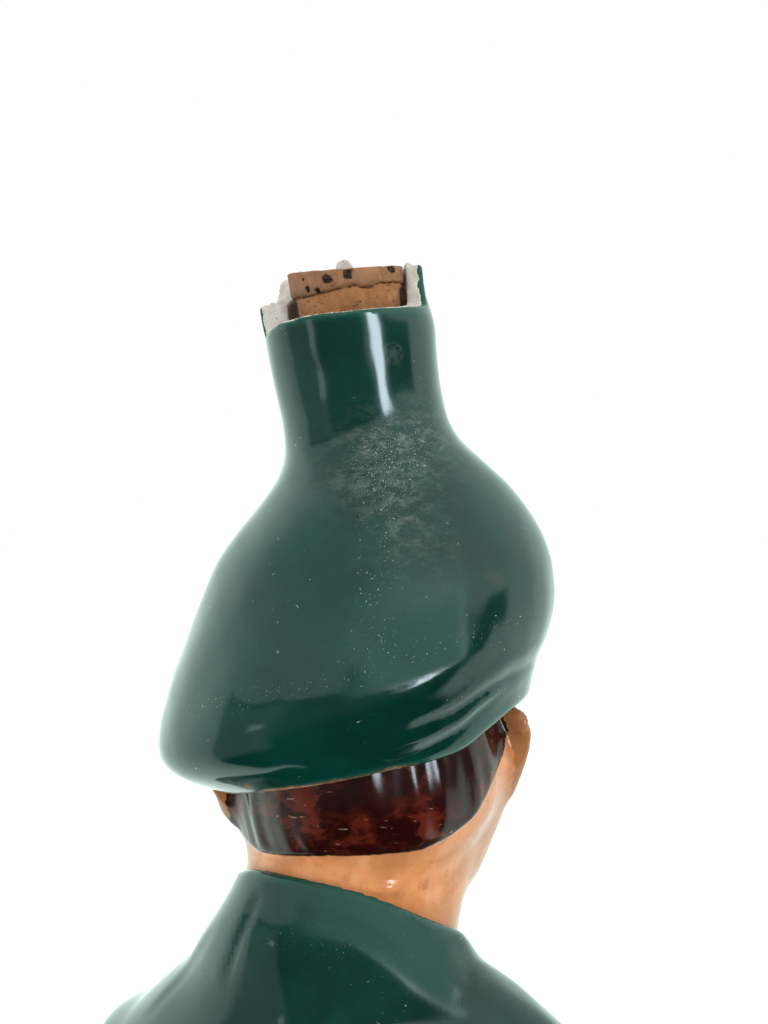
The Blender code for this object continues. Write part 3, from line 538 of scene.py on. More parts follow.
def head_solid(P):
    x, y, z, r, b, u, v, w = parts_of(P)
    f = skin_surface(P)
    f = smax(f, cap_edge(r, b, z) - 2.4, 0.5)
    f = smax(f, (neckline(x, y) - 3.0 - z) * 0.85, 0.5)
    return smax(f, -inside_of(P), 0.45)


def jacket_solid(P):
    x, y, z, r, b, u, v, w = parts_of(P)
    f = jacket_form(x, y, z, r, b) - jacket_relief(P, x, y, z)
    f = smax(f, (z - neckline(x, y)) * 0.85, 0.6)
    f = smax(f, -z, FOOT_ROUND)
    f = smax(f, -inside_of(P), 0.45)
    under = smax(section(x - BODY_X, y - BODY_Y, FOOT_HALF[0], FOOT_HALF[1], 2.3), z - FOOT_RECESS, 0.5)
    return smax(f, -under, 0.5)


# ---------------------------------------------------------------- the cork
cork_r = profile([(-30, 9.9), (-19, 9.9), (-9.6, 10.35), (-5.2, 10.75), (-4.4, 11.35), (0, 11.45), (2, 11.5)], 0.35)
CRACK = [(-180, -4.6), (-110, -5.0), (-85, -5.2), (-67, -5.3), (-48, -5.8), (-39, -5.8), (-23, -5.6), (-6, -5.3), (12, -5.1), (20, -5.3), (26, -5.6),
         (31, -5.2), (36, -4.9), (50, -4.6), (63, -4.3), (85, -4.2), (110, -4.6), (180, -4.6)]
crack_at = profile(CRACK, 1.6)
# pits in the cork's side: angle round it, height from the top, half width, half height, depth
PITS = [(-47, -2.5, 0.28, 0.40, 0.7), (-42, -4.5, 0.52, 0.62, 0.9), (-31, -5.1, 0.60, 0.38, 0.8), (-19, -3.4, 1.0, 1.0, 1.3), (3, -2.8, 0.90, 1.25, 1.3),
        (54, -2.0, 1.15, 0.75, 1.0), (100, -3.0, 1.0, 1.1, 1.1), (140, -8.0, 0.8, 1.2, 1.0), (-110, -2.6, 0.8, 1.1, 1.0), (-150, -5.5, 1.1, 0.8, 1.1),
        (172, -2.2, 0.9, 1.1, 1.1)]


def pit_at(P, th, s):
    """How far out of the nearest pit in the cork's side, one at its ragged rim."""
    near = np.full(len(P), 9.0)
    for a, h, hw, hh, deep in PITS:
        da = (np.mod(th - a + 180, 360) - 180) * np.radians(1.0) * 11.2
        near = np.minimum(near, ((np.abs(da) / hw) ** 2.6 + (np.abs(s - h) / hh) ** 2.6) ** (1 / 2.6))
    return near * (1 + 0.13 * waves(P, 1.1, 73) + 0.07 * waves(P, 0.6, 79))


def cork_solid(P):
    x, y, z, r, b, u, v, w = parts_of(P)
    d, s, p, q = cork_frame(r, b, z)
    th = np.degrees(np.arctan2(p, q))
    rad = cork_r(np.clip(s, -30, 2))
    arc = np.radians(1.0) * 11.2
    grain = 0.05 * waves(P, 1.3, 61) + 0.07 * waves(P, 3.6, 63)
    step = crack_at(th) + 0.12 * waves(P, 2.2, 67)
    lower = smooth(0.25, -0.25, s - step) * (0.12 + 0.40 * smooth(-38, -72, th) * smooth(-170, -120, th))
    f = d - rad - grain + lower * (s > -16)
    top = s + CORK_FALL[0] * p + CORK_FALL[1] * q + 0.035 * waves(P, 3.6, 69)
    f = smax(f * 0.99, np.maximum(top, -CORK_LENGTH - s), 0.4)
    groove = 0.24 - np.sqrt((s - step) ** 2 + (np.maximum(rad - d, 0) * 0.3) ** 2)
    f = smax(f, groove * (np.abs(th) < 100) - 0.5 * (np.abs(th) >= 100), 0.12)
    near = pit_at(P, th, s)
    f += 0.85 * smooth(1.15, 0.45, near) * (1 + 0.25 * waves(P, 0.9, 75)) * (d > 8) * (s > -27)
    mark = np.abs((np.mod(th - 62 + 180, 360) - 180) * arc)
    k = (mark < 1) & (s < -4.6) & (s > -8.2)
    f[k] += 0.12 * bump(mark[k], 0.2)
    return f


# ---------------------------------------------------------------- meshing
MM = 0.001
ORIGIN = (-2.5, -3.153)


def slope_of(fn, P, e=0.02):
    g = np.empty_like(P)
    for i in range(3):
        d = np.zeros(3)
        d[i] = e
        g[:, i] = (fn(P + d) - fn(P - d)) / (2 * e)
    return g


def in_parts(fn, P, size=60000):
    out = np.empty(len(P))
    for i in range(0, len(P), size):
        out[i:i + size] = fn(P[i:i + size])
    return out


def heal(F, tiny=1e-3):
    """Fills grid squares whose diagonals disagree, so that the skin never pinches itself."""
    for _ in range(6):
        found = 0
        for o1, o2 in ((0, 1), (1, 2), (0, 2)):
            def part(a, b):
                s = [slice(None)] * 3
                s[o1] = slice(a, F.shape[o1] - 1 + a)
                s[o2] = slice(b, F.shape[o2] - 1 + b)
                return tuple(s)
            f00, f01, f10, f11 = F[part(0, 0)], F[part(0, 1)], F[part(1, 0)], F[part(1, 1)]
            same = ((f00 < 0) == (f11 < 0)) & ((f01 < 0) == (f10 < 0))
            odd = same & ((f00 < 0) != (f01 < 0))
            found += odd.sum()
            near = odd & (f00 >= 0)
            F[part(0, 0)][near] = -tiny
            F[part(0, 1)][odd & ~near] = -tiny
        if not found:
            return


def skin_of(fn, low, high, h, many=4, rounds=2):
    """Quads over the zero surface of a field. The field is read finely only near its surface."""
    low = np.array(low, float)
    big = np.ceil((np.array(high, float) - low) / (h * many)).astype(int)
    axes = [low[i] + h * many * np.arange(big[i] + 1) for i in range(3)]
    G = np.stack(np.meshgrid(*axes, indexing="ij"), -1).reshape(-1, 3)
    C = in_parts(fn, G).reshape(big + 1)
    corners = [C[i:big[0] + i, j:big[1] + j, k:big[2] + k] for i in (0, 1) for j in (0, 1) for k in (0, 1)]
    near = np.minimum.reduce([np.abs(c) for c in corners]) < h * many * 1.15
    n = big * many + 1
    where = np.zeros(n, bool)
    for di in (0, 1):
        for dj in (0, 1):
            for dk in (0, 1):
                block = near.repeat(many, 0).repeat(many, 1).repeat(many, 2)
                where[di:di + block.shape[0], dj:dj + block.shape[1], dk:dk + block.shape[2]] |= block
    F = np.full(n, 9.0)
    near_c = [np.clip(np.rint(np.arange(n[i]) / many).astype(int), 0, big[i]) for i in range(3)]
    F[:] = np.where(C < 0, -9.0, 9.0)[np.ix_(*near_c)]
    at = np.stack(np.nonzero(where), 1)
    F[tuple(at.T)] = in_parts(fn, at * h + low)
    heal(F)
    S = F < 0
    count = sum(S[i:n[0] - 1 + i, j:n[1] - 1 + j, k:n[2] - 1 + k].astype(np.int8)
                for i in (0, 1) for j in (0, 1) for k in (0, 1))
    cell = np.stack(np.nonzero((count > 0) & (count < 8)), 1)
    index = -np.ones(n - 1, int)
    index[tuple(cell.T)] = np.arange(len(cell))
    pos, hits = np.zeros((len(cell), 3)), np.zeros(len(cell))
    for corner in [(i, j, k) for i in (0, 1) for j in (0, 1) for k in (0, 1)]:
        for ax in range(3):
            if corner[ax]:
                continue
            c0, c1 = np.array(corner), np.array(corner)
            c1[ax] = 1
            f0, f1 = F[tuple((cell + c0).T)], F[tuple((cell + c1).T)]
            cut = (f0 < 0) != (f1 < 0)
            q = np.tile(c0.astype(float), (len(cell), 1))
            q[:, ax] += np.where(cut, f0 / np.where(cut, f0 - f1, 1), 0)
            pos += q * cut[:, None]
            hits += cut
    V = (pos / hits[:, None] + cell) * h + low
    quads = []
    for ax, o1, o2 in ((0, 1, 2), (1, 2, 0), (2, 0, 1)):
        s0, s1 = [slice(None)] * 3, [slice(None)] * 3
        s0[ax], s1[ax] = slice(0, -1), slice(1, None)
        A, B = S[tuple(s0)], S[tuple(s1)]
        e = np.stack(np.nonzero(A != B), 1)
        ring = []
        for d1, d2 in ((1, 1), (0, 1), (0, 0), (1, 0)):
            q = e.copy()
            q[:, o1] -= d1
            q[:, o2] -= d2
            ring.append(index[tuple(q.T)])
        ring = np.stack(ring, 1)
        quads.append(np.where(A[tuple(e.T)][:, None], ring, ring[:, ::-1]))
    return onto(fn, V, h, rounds), np.concatenate(quads)


def onto(fn, V, h, rounds=2):
    """Moves points onto the zero surface of a field."""
    for _ in range(rounds):
        f = in_parts(fn, V)
        g = np.empty_like(V)
        for i in range(3):
            d = np.zeros(3)
            d[i] = 0.02
            g[:, i] = (in_parts(fn, V + d) - f) / 0.02
        gg = np.maximum((g * g).sum(1), 0.05)
        V = V - g * np.clip(f / gg, -h / 2, h / 2)[:, None]
    return V


def to_row(V):
    return np.stack([(V[:, 0] - ORIGIN[0]) * MM, (V[:, 1] - ORIGIN[1]) * MM, V[:, 2] * MM], 1)


def from_row(co):
    return np.stack([co[:, 0] / MM + ORIGIN[0], co[:, 1] / MM + ORIGIN[1], co[:, 2] / MM], 1)


def points_of(mesh):
    co = np.empty(len(mesh.vertices) * 3)
    mesh.vertices.foreach_get("co", co)
    return from_row(co.reshape(-1, 3))


def skinned(name, fn, low, high, h, finer=None):
    """A fine mesh of a field. finer(P) picks the points round which the faces are divided once more."""
    V, Q = skin_of(fn, low, high, h)
    mesh = bpy.data.meshes.new(name)
    mesh.vertices.add(len(V))
    mesh.vertices.foreach_set("co", to_row(V).ravel())
    mesh.loops.add(Q.size)
    mesh.loops.foreach_set("vertex_index", Q.ravel().astype(np.int32))
    mesh.polygons.add(len(Q))
    mesh.polygons.foreach_set("loop_start", np.arange(0, Q.size, 4, dtype=np.int32))
    mesh.polygons.foreach_set("loop_total", np.full(len(Q), 4, np.int32))
    mesh.update(calc_edges=True)
    if finer is not None:
        pick = finer(points_of(mesh))
        bm = bmesh.new()
        bm.from_mesh(mesh)
        bm.verts.ensure_lookup_table()
        edges = [e for e in bm.edges if pick[e.verts[0].index] and pick[e.verts[1].index]]
        bmesh.ops.subdivide_edges(bm, edges=edges, cuts=1, use_grid_fill=True)
        bmesh.ops.triangulate(bm, faces=[f for f in bm.faces if len(f.verts) > 4])
        bm.to_mesh(mesh)
        bm.free()
        P = points_of(mesh)
        again = finer(P)
        P[again] = onto(fn, P[again], h / 2, 2)
        mesh.vertices.foreach_set("co", to_row(P).ravel())
        mesh.update()
    mesh.validate()
    mesh.shade_smooth()
    ob = bpy.data.objects.new(name, mesh)
    bpy.context.scene.collection.objects.link(ob)
    return ob


def mark(ob, name, values):
    """Keeps a number for each point of a mesh, for its material to read."""
    a = ob.data.attributes.new(name, "FLOAT", "POINT")
    a.data.foreach_set("value", np.asarray(values, np.float32))


# ---------------------------------------------------------------- materials
def fresh(name):
    m = bpy.data.materials.new(name)
    m.use_nodes = True
    return m, m.node_tree, m.node_tree.nodes["Principled BSDF"]


def node(nt, kind, links=(), **settings):
    """A shader node. links maps its sockets to other sockets or to plain values."""
    n = nt.nodes.new("ShaderNode" + kind)
    for k, v in settings.items():
        setattr(n, k, v)
    for key, v in dict(links).items():
        s = n.inputs[key]
        if isinstance(v, bpy.types.NodeSocket):
            nt.links.new(v, s)
        else:
            s.default_value = v
    return n


def millimetres(nt, stretch=(1, 1, 1)):
    at = node(nt, "TexCoord").outputs["Object"]
    return node(nt, "Mapping", {"Vector": at, "Scale": tuple(1000 * s for s in stretch)}).outputs["Vector"]


def noise(nt, at, scale, detail=3.0, rough=0.5, distortion=0.0):
    return node(nt, "TexNoise", {"Vector": at, "Scale": scale, "Detail": detail, "Roughness": rough, "Distortion": distortion}).outputs["Fac"]


def ramp(nt, v, low, high, to_low=0.0, to_high=1.0):
    return node(nt, "MapRange", {"Value": v, "From Min": low, "From Max": high, "To Min": to_low, "To Max": to_high},
                interpolation_type="SMOOTHSTEP").outputs["Result"]


def maths(nt, op, a, b=0.0, c=0.0):
    return node(nt, "Math", {0: a, 1: b, 2: c}, operation=op).outputs[0]


def rgba(c):
    return (c[0], c[1], c[2], 1.0)


def blend(nt, fac, a, b, mode="MIX"):
    n = node(nt, "Mix", data_type="RGBA", blend_type=mode)
    for s, v in ((n.inputs[0], fac), (n.inputs[6], a), (n.inputs[7], b)):
        if isinstance(v, bpy.types.NodeSocket):
            nt.links.new(v, s)
        elif isinstance(v, (int, float)):
            s.default_value = v
        else:
            s.default_value = rgba(v)
    return n.outputs[2]


def mixed(nt, fac, a, b):
    n = node(nt, "Mix", data_type="FLOAT")
    for s, v in ((n.inputs[0], fac), (n.inputs[2], a), (n.inputs[3], b)):
        if isinstance(v, bpy.types.NodeSocket):
            nt.links.new(v, s)
        else:
            s.default_value = v
    return n.outputs[0]


def stored(nt, name):
    return node(nt, "Attribute", attribute_name=name).outputs["Fac"]


def set_bump(nt, shader, pieces):
    """Stacks bumps given as (height socket, strength, distance in mm)."""
    last = None
    for height, strength, mm in pieces:
        n = node(nt, "Bump", {"Height": height, "Strength": strength, "Distance": mm * MM})
        if last is not None:
            nt.links.new(last, n.inputs["Normal"])
        last = n.outputs["Normal"]
    nt.links.new(last, shader.inputs["Normal"])


def specks(nt, at, scale, share, size):
    """Small bright specks: a share of the cells of a fine lattice hold one each."""
    v = node(nt, "TexVoronoi", {"Vector": at, "Scale": scale}, feature="F1")
    pick = node(nt, "SeparateColor", {"Color": v.outputs["Color"]}).outputs[0]
    here = maths(nt, "LESS_THAN", pick, share)
    dot = ramp(nt, v.outputs["Distance"], size, size * 0.4)
    return maths(nt, "MULTIPLY", here, dot)


def bare_clay(nt, at):
    """Colour of the fired clay where it is broken or unglazed."""
    grain = noise(nt, at, 2.6, 5, 0.65)
    cloud = noise(nt, at, 0.22, 3, 0.5)
    c = blend(nt, ramp(nt, cloud, 0.35, 0.65), (0.50, 0.465, 0.415), (0.64, 0.615, 0.575))
    c = blend(nt, ramp(nt, grain, 0.52, 0.78), c, (0.33, 0.29, 0.24))
    return blend(nt, specks(nt, at, 0.8, 0.10, 0.16), c, (0.06, 0.05, 0.045)), grain


def green_glaze():
    m, nt, sh = fresh("green_glaze")
    at = millimetres(nt)
    slow, mid, fine = noise(nt, at, 0.035, 3, 0.5), noise(nt, at, 0.16, 4, 0.55), noise(nt, at, 1.9, 4, 0.6)
    c = blend(nt, ramp(nt, slow, 0.35, 0.68), (0.0003, 0.0200, 0.0145), (0.0008, 0.0330, 0.0242))
    c = blend(nt, ramp(nt, mid, 0.45, 0.80, 0, 0.35), c, (0.0020, 0.0540, 0.0400))
    thin = ramp(nt, stored(nt, "thin"), 0.0, 1.0)
    c = blend(nt, maths(nt, "MULTIPLY", thin, 0.35), c, (0.010, 0.105, 0.075))
    stain = ramp(nt, stored(nt, "stain"), -0.45, 0.35)
    c = blend(nt, maths(nt, "MULTIPLY", stain, 0.5), c, (0.020, 0.034, 0.018))
    dust = stored(nt, "dust")
    streaky = noise(nt, millimetres(nt, (0.55, 0.55, 1.0)), 0.55, 6, 0.72, 0.6)
    veil = maths(nt, "MULTIPLY", dust, ramp(nt, streaky, 0.42, 0.72))
    c = blend(nt, maths(nt, "MULTIPLY", veil, 0.30), c, (0.30, 0.34, 0.30))
    rub = maths(nt, "MULTIPLY", dust, ramp(nt, noise(nt, millimetres(nt, (0.7, 0.7, 1.3)), 1.9, 5, 0.7, 0.8), 0.60, 0.72))
    c = blend(nt, maths(nt, "MULTIPLY", rub, 0.55), c, (0.46, 0.49, 0.42))
    chips = ramp(nt, noise(nt, millimetres(nt, (1, 1, 1.35)), 1.15, 2, 0.45, 0.9), 0.735, 0.765)
    few = maths(nt, "MULTIPLY", chips, ramp(nt, noise(nt, at, 0.075, 2, 0.5), 0.50, 0.60))
    some = maths(nt, "MULTIPLY", ramp(nt, noise(nt, millimetres(nt, (1.3, 1.3, 1)), 2.3, 2, 0.5, 0.7), 0.685, 0.72), ramp(nt, stored(nt, "line"), 0.25, 0.9))
    many = maths(nt, "MULTIPLY", ramp(nt, noise(nt, at, 3.4, 2, 0.5), 0.66, 0.70), ramp(nt, dust, 0.40, 0.95))
    dots = maths(nt, "MAXIMUM", maths(nt, "MAXIMUM", few, some), many)
    c = blend(nt, maths(nt, "MULTIPLY", dots, 0.60), c, (0.62, 0.68, 0.60))
    # round mark dried on the glaze: its lighter grey inside and the thin light ring round it are painted reflection on
    # a real mark
    c = blend(nt, maths(nt, "MULTIPLY", stored(nt, "ring"), 0.14), c, (0.25, 0.31, 0.28))
    c = blend(nt, maths(nt, "MULTIPLY", stored(nt, "pinhole"), 0.9), c, (0.006, 0.010, 0.008))
    blob = ramp(nt, stored(nt, "blob"), -0.10, 0.25)
    c = blend(nt, blob, c, (0.085, 0.040, 0.008))
    tan = stored(nt, "tan")
    c = blend(nt, tan, c, blend(nt, ramp(nt, noise(nt, at, 0.5, 3, 0.6), 0.4, 0.6), (0.30, 0.120, 0.045), (0.50, 0.31, 0.17)))
    # matte patches of glaze: rougher, and painted a lighter green that stands in for reflected light (painted sheen)
    matte_and_painted_sheen = stored(nt, "matte_and_painted_sheen")
    c = blend(nt, maths(nt, "MULTIPLY", matte_and_painted_sheen, 0.38), c, (0.006, 0.085, 0.062))
    bare = stored(nt, "bare")
    clay, grain = bare_clay(nt, at)
    rough_edge = maths(nt, "MULTIPLY_ADD", stored(nt, "ragged"), 1.5, 0.06)
    edge_noise = maths(nt, "MULTIPLY_ADD", maths(nt, "SUBTRACT", noise(nt, at, 0.55, 4, 0.6), 0.5), rough_edge, bare)
    lip = ramp(nt, edge_noise, 0.10, 0.24)
    c = blend(nt, lip, c, (0.60, 0.60, 0.46))
    is_clay = ramp(nt, edge_noise, 0.30, 0.50)
    c = blend(nt, is_clay, c, clay)
    nt.links.new(c, sh.inputs["Base Color"])
    r = mixed(nt, maths(nt, "MULTIPLY", veil, 0.9), 0.10, 0.40)
    r = mixed(nt, maths(nt, "MULTIPLY", dots, 0.8), r, 0.6)
    r = mixed(nt, tan, r, 0.55)
    r = mixed(nt, matte_and_painted_sheen, r, 0.72)
    r = mixed(nt, is_clay, r, 0.82)
    nt.links.new(r, sh.inputs["Roughness"])
    sh.inputs["IOR"].default_value = 1.52
    peel = noise(nt, at, 0.30, 2, 0.4)
    scratch = noise(nt, millimetres(nt, (0.15, 0.15, 1.6)), 1.1, 5, 0.7)
    set_bump(nt, sh, [(peel, 0.35, 0.05), (maths(nt, "MULTIPLY", scratch, dust), 0.4, 0.05), (maths(nt, "MULTIPLY", grain, is_clay), 0.9, 0.35),
                      (maths(nt, "MULTIPLY", dots, 1.0), 0.5, 0.06)])
    return m


def painted_head():
    m, nt, sh = fresh("skin_and_hair_glaze")
    at = millimetres(nt)
    slow, mid, fine = noise(nt, at, 0.085, 4, 0.6), noise(nt, at, 0.30, 4, 0.6), noise(nt, at, 1.4, 4, 0.6)
    skin = blend(nt, ramp(nt, slow, 0.38, 0.64), (0.50, 0.195, 0.068), (0.69, 0.285, 0.110))
    skin = blend(nt, ramp(nt, mid, 0.50, 0.76, 0, 0.7), skin, (0.36, 0.125, 0.040))
    skin = blend(nt, ramp(nt, noise(nt, at, 0.17, 3, 0.6), 0.56, 0.74, 0, 0.45), skin, (0.72, 0.39, 0.190))
    skin = blend(nt, ramp(nt, fine, 0.58, 0.82, 0, 0.5), skin, (0.33, 0.13, 0.055))
    skin = blend(nt, ramp(nt, noise(nt, at, 0.055, 2, 0.5), 0.52, 0.66, 0, 0.45), skin, (0.50, 0.240, 0.130))
    skin = blend(nt, maths(nt, "MULTIPLY", stored(nt, "calm"), 0.65), skin, (0.62, 0.255, 0.105))
    skin = blend(nt, maths(nt, "MULTIPLY", ramp(nt, stored(nt, "blush"), 0.0, 1.0), 0.30), skin, (0.60, 0.15, 0.08))
    # painted shade in the crease round the ear and just above the jacket's neck edge
    skin = blend(nt, maths(nt, "MULTIPLY", ramp(nt, stored(nt, "shade"), 0.0, 1.0), 0.6), skin, (0.42, 0.155, 0.045))
    # the outer ear painted darker brown: painted shade
    skin = blend(nt, maths(nt, "MULTIPLY", stored(nt, "ear_painted_shade"), 0.75), skin, (0.27, 0.108, 0.040))
    skin = blend(nt, maths(nt, "MULTIPLY", specks(nt, at, 0.35, 0.14, 0.10), 0.7), skin, (0.12, 0.05, 0.03))

    strokes = noise(nt, millimetres(nt, (0.5, 0.5, 0.75)), 0.42, 4, 0.62, 0.5)
    patches = noise(nt, at, 0.105, 3, 0.5)
    hair = blend(nt, ramp(nt, strokes, 0.40, 0.70), (0.0160, 0.0012, 0.0008), (0.052, 0.0040, 0.0020))
    glow = ramp(nt, maths(nt, "MULTIPLY", strokes, patches), 0.27, 0.38, 0, 0.8)
    hair = blend(nt, glow, hair, (0.105, 0.014, 0.005))
    hair = blend(nt, ramp(nt, patches, 0.50, 0.32, 0, 0.75), hair, (0.0110, 0.0010, 0.0008))
    scuff = maths(nt, "MULTIPLY", ramp(nt, noise(nt, millimetres(nt, (0.45, 0.45, 2.0)), 0.75, 2, 0.4, 0.3), 0.70, 0.74), ramp(nt, patches, 0.45, 0.55))
    hair = blend(nt, maths(nt, "MULTIPLY", scuff, 0.5), hair, (0.42, 0.22, 0.14))

    depth = stored(nt, "hair")
    wobble = maths(nt, "MULTIPLY_ADD", maths(nt, "SUBTRACT", noise(nt, at, 0.7, 3, 0.6), 0.5), 0.7, depth)
    is_hair = ramp(nt, wobble, -0.10, 0.14)
    rim = maths(nt, "MULTIPLY", ramp(nt, wobble, 0.9, 0.2), 0.75)
    hair = blend(nt, rim, hair, (0.012, 0.004, 0.003))
    c = blend(nt, is_hair, skin, hair)

    c = blend(nt, ramp(nt, stored(nt, "brow"), -0.15, 0.30, 0, 0.9), c, (0.045, 0.012, 0.006))
    c = blend(nt, ramp(nt, stored(nt, "lips"), -0.25, 0.25, 0, 0.75), c, (0.42, 0.100, 0.060))
    c = blend(nt, ramp(nt, stored(nt, "eye"), -0.08, 0.08), c, (0.72, 0.68, 0.60))
    c = blend(nt, ramp(nt, stored(nt, "iris"), -0.10, 0.10), c, (0.080, 0.030, 0.010))
    c = blend(nt, ramp(nt, stored(nt, "pupil"), -0.08, 0.08), c, (0.003, 0.002, 0.002))
    c = blend(nt, ramp(nt, stored(nt, "lash"), -0.10, 0.12, 0, 0.9), c, (0.030, 0.010, 0.006))
    bare = stored(nt, "bare")
    clay, grain = bare_clay(nt, at)
    is_clay = ramp(nt, bare, 0.3, 0.6)
    c = blend(nt, is_clay, c, clay)
    nt.links.new(c, sh.inputs["Base Color"])
    r = mixed(nt, is_hair, ramp(nt, mid, 0.3, 0.8, 0.10, 0.22), 0.17)
    nt.links.new(mixed(nt, is_clay, r, 0.8), sh.inputs["Roughness"])
    sh.inputs["IOR"].default_value = 1.44
    set_bump(nt, sh, [(noise(nt, at, 0.35, 2, 0.4), 0.3, 0.05), (maths(nt, "MULTIPLY", strokes, is_hair), 0.25, 0.10)])
    return m


def cork_wood():
    m, nt, sh = fresh("cork")
    at = millimetres(nt)
    cells = node(nt, "TexVoronoi", {"Vector": millimetres(nt, (1, 1, 0.8)), "Scale": 0.95}, feature="F1").outputs["Distance"]
    slow, mid, fine = noise(nt, at, 0.10, 4, 0.6), noise(nt, millimetres(nt, (1, 1, 0.55)), 0.42, 5, 0.65), noise(nt, at, 2.2, 4, 0.6)
    c = blend(nt, ramp(nt, slow, 0.38, 0.64), (0.215, 0.090, 0.035), (0.325, 0.155, 0.067))
    c = blend(nt, ramp(nt, mid, 0.50, 0.74, 0, 0.8), c, (0.145, 0.058, 0.022))
    c = blend(nt, ramp(nt, mid, 0.46, 0.30, 0, 0.7), c, (0.40, 0.215, 0.108))
    c = blend(nt, ramp(nt, fine, 0.60, 0.76, 0, 0.7), c, (0.13, 0.055, 0.027))
    c = blend(nt, ramp(nt, stored(nt, "below"), -0.3, 0.3, 0, 0.45), c, (0.385, 0.172, 0.063))
    smoky = noise(nt, at, 0.16, 3, 0.55)
    c = blend(nt, maths(nt, "MULTIPLY", ramp(nt, stored(nt, "above"), -0.3, 0.3), ramp(nt, smoky, 0.34, 0.62, 0.15, 0.75)), c, (0.225, 0.128, 0.078))
    cracks = ramp(nt, noise(nt, millimetres(nt, (0.8, 0.8, 2.2)), 0.8, 4, 0.62, 0.6), 0.61, 0.68)
    c = blend(nt, maths(nt, "MULTIPLY", ramp(nt, stored(nt, "below"), 0.1, 0.4), cracks), c, (0.085, 0.030, 0.012))
    c = blend(nt, ramp(nt, stored(nt, "split"), 0.15, 0.8, 0, 0.85), c, (0.060, 0.022, 0.010))
    hole = blend(nt, ramp(nt, noise(nt, at, 1.7, 4, 0.65), 0.40, 0.62), (0.010, 0.006, 0.005), (0.080, 0.045, 0.030))
    c = blend(nt, ramp(nt, stored(nt, "pit"), 0.15, 0.75), c, hole)
    nt.links.new(c, sh.inputs["Base Color"])
    sh.inputs["Roughness"].default_value = 0.82
    sh.inputs["IOR"].default_value = 1.4
    set_bump(nt, sh, [(cells, 0.35, 0.18), (fine, 0.6, 0.15), (mid, 0.5, 0.25)])
    return m


# ---------------------------------------------------------------- the pieces
def frames_of(ob):
    P = points_of(ob.data)
    return (P,) + parts_of(P)


def make_cap():
    ob = skinned("glazed_cap_and_neck", cap_solid, (-46, -46, 98), (50, 46, 224), 0.86, lambda P: P[:, 2] > 199)
    P, x, y, z, r, b, u, v, w = frames_of(ob)
    surface = by_slope(cap_tube, (r, b, z)) - cap_relief(P, r, b, z)
    d, s, p, q = cork_frame(r, b, z)
    th = np.degrees(np.arctan2(p, q))
    up = smooth(190, 197, z)
    curl = 0.75 * smooth(48, 60, th) * smooth(112, 100, th) + 0.12 * smooth(-76, -90, th)
    bare = up * np.minimum(-surface - 0.05 - curl, 1.2) + (1 - up) * 0.9 * smooth(3.5, 4.2, -surface)
    mark(ob, "bare", np.where(surface < -0.05, bare, -1.2 * smooth(0.3, 1.6, -mouth_top(r, b, z))))
    mark(ob, "ragged", np.maximum(smooth(-70, -82, th), smooth(52, 64, th)) * up)
    e = cap_edge(r, b, z)
    al = np.degrees(np.arctan2(u, v))
    mark(ob, "tan", smooth(0.95, 0.35, e + 0.15 * waves(P, 6.0, 91)) * smooth(-52, -40, al) * (1 - 0.45 * smooth(-14, 0, al)) * (1 - smooth(8, 20, al)))
    mark(ob, "blob", 1 - np.sqrt(((r + 13.6) / 1.25) ** 2 + ((z - 118.7) / 0.65) ** 2) + (b < 10) * -9)
    mark(ob, "thin", np.maximum(0.8 * bump(e - 0.6, 0.9), bump(mouth_top(r, b, z) + 0.5, 0.9)))
    cu, ct = cap_frame(r, z)
    back = smooth(-2, 6, b)
    patch = bump(np.sqrt(((cu - 17.0) / 1.5) ** 2 + (ct - 36.5 - 0.12 * (cu - 17)) ** 2), 7.5)
    trail = 0.55 * bump(cu - 13.5 - 0.10 * (36 - ct), 6.5) * smooth(46, 34, ct) * smooth(2, 24, ct)
    mark(ob, "dust", np.clip(patch + trail, 0, 1) * back)
    off = np.sqrt((cu - 20.3) ** 2 + ((ct - 54.7) * 1.05) ** 2)                                # a round mark dried on the glaze
    # lighter grey inside and round the dried mark: painted reflection
    mark(ob, "ring", np.maximum(0.7 * smooth(1.35, 0.9, off), bump(off - 1.8, 0.2)) * back)
    dark = 0.75 * bump(off - 1.55, 0.2)
    for mu, mt, wu, wt in ((16.8, 44.4, 0.55, 0.35), (20.8, 45.5, 0.4, 0.32), (-8.0, 21.0, 0.3, 0.3), (9.0, 8.0, 0.35, 0.3)):
        dark = np.maximum(dark, bump(np.sqrt(((cu - mu) / wu) ** 2 + ((ct - mt) / wt) ** 2), 1.0))
    mark(ob, "pinhole", dark * back)
    rise = z - 137.8 - 0.33 * (r - 14)
    # matte band on the cap's slope, its lighter green a painted sheen
    mark(ob, "matte_and_painted_sheen", smooth(0.0, 1.4, rise) * smooth(22, 9, rise) * smooth(2, 12, r) * smooth(27, 23, r) * back)
    mark(ob, "line", np.clip(bump(cu - 4.0 - 0.25 * ct, 5.5) * smooth(44, 30, ct) * smooth(-4, 4, ct) + 0.7 * bump(ct - 0.5 - 0.02 * cu, 3.0), 0, 1) * back)
    mark(ob, "stain", (1 - np.sqrt(((cu - 27.9) / 1.9) ** 2 + ((ct - 9.7 + 0.5 * (cu - 27.9)) / 1.3) ** 2)) * back + (back - 1) * 9)
    ob.data.materials.append(glaze)
    return ob


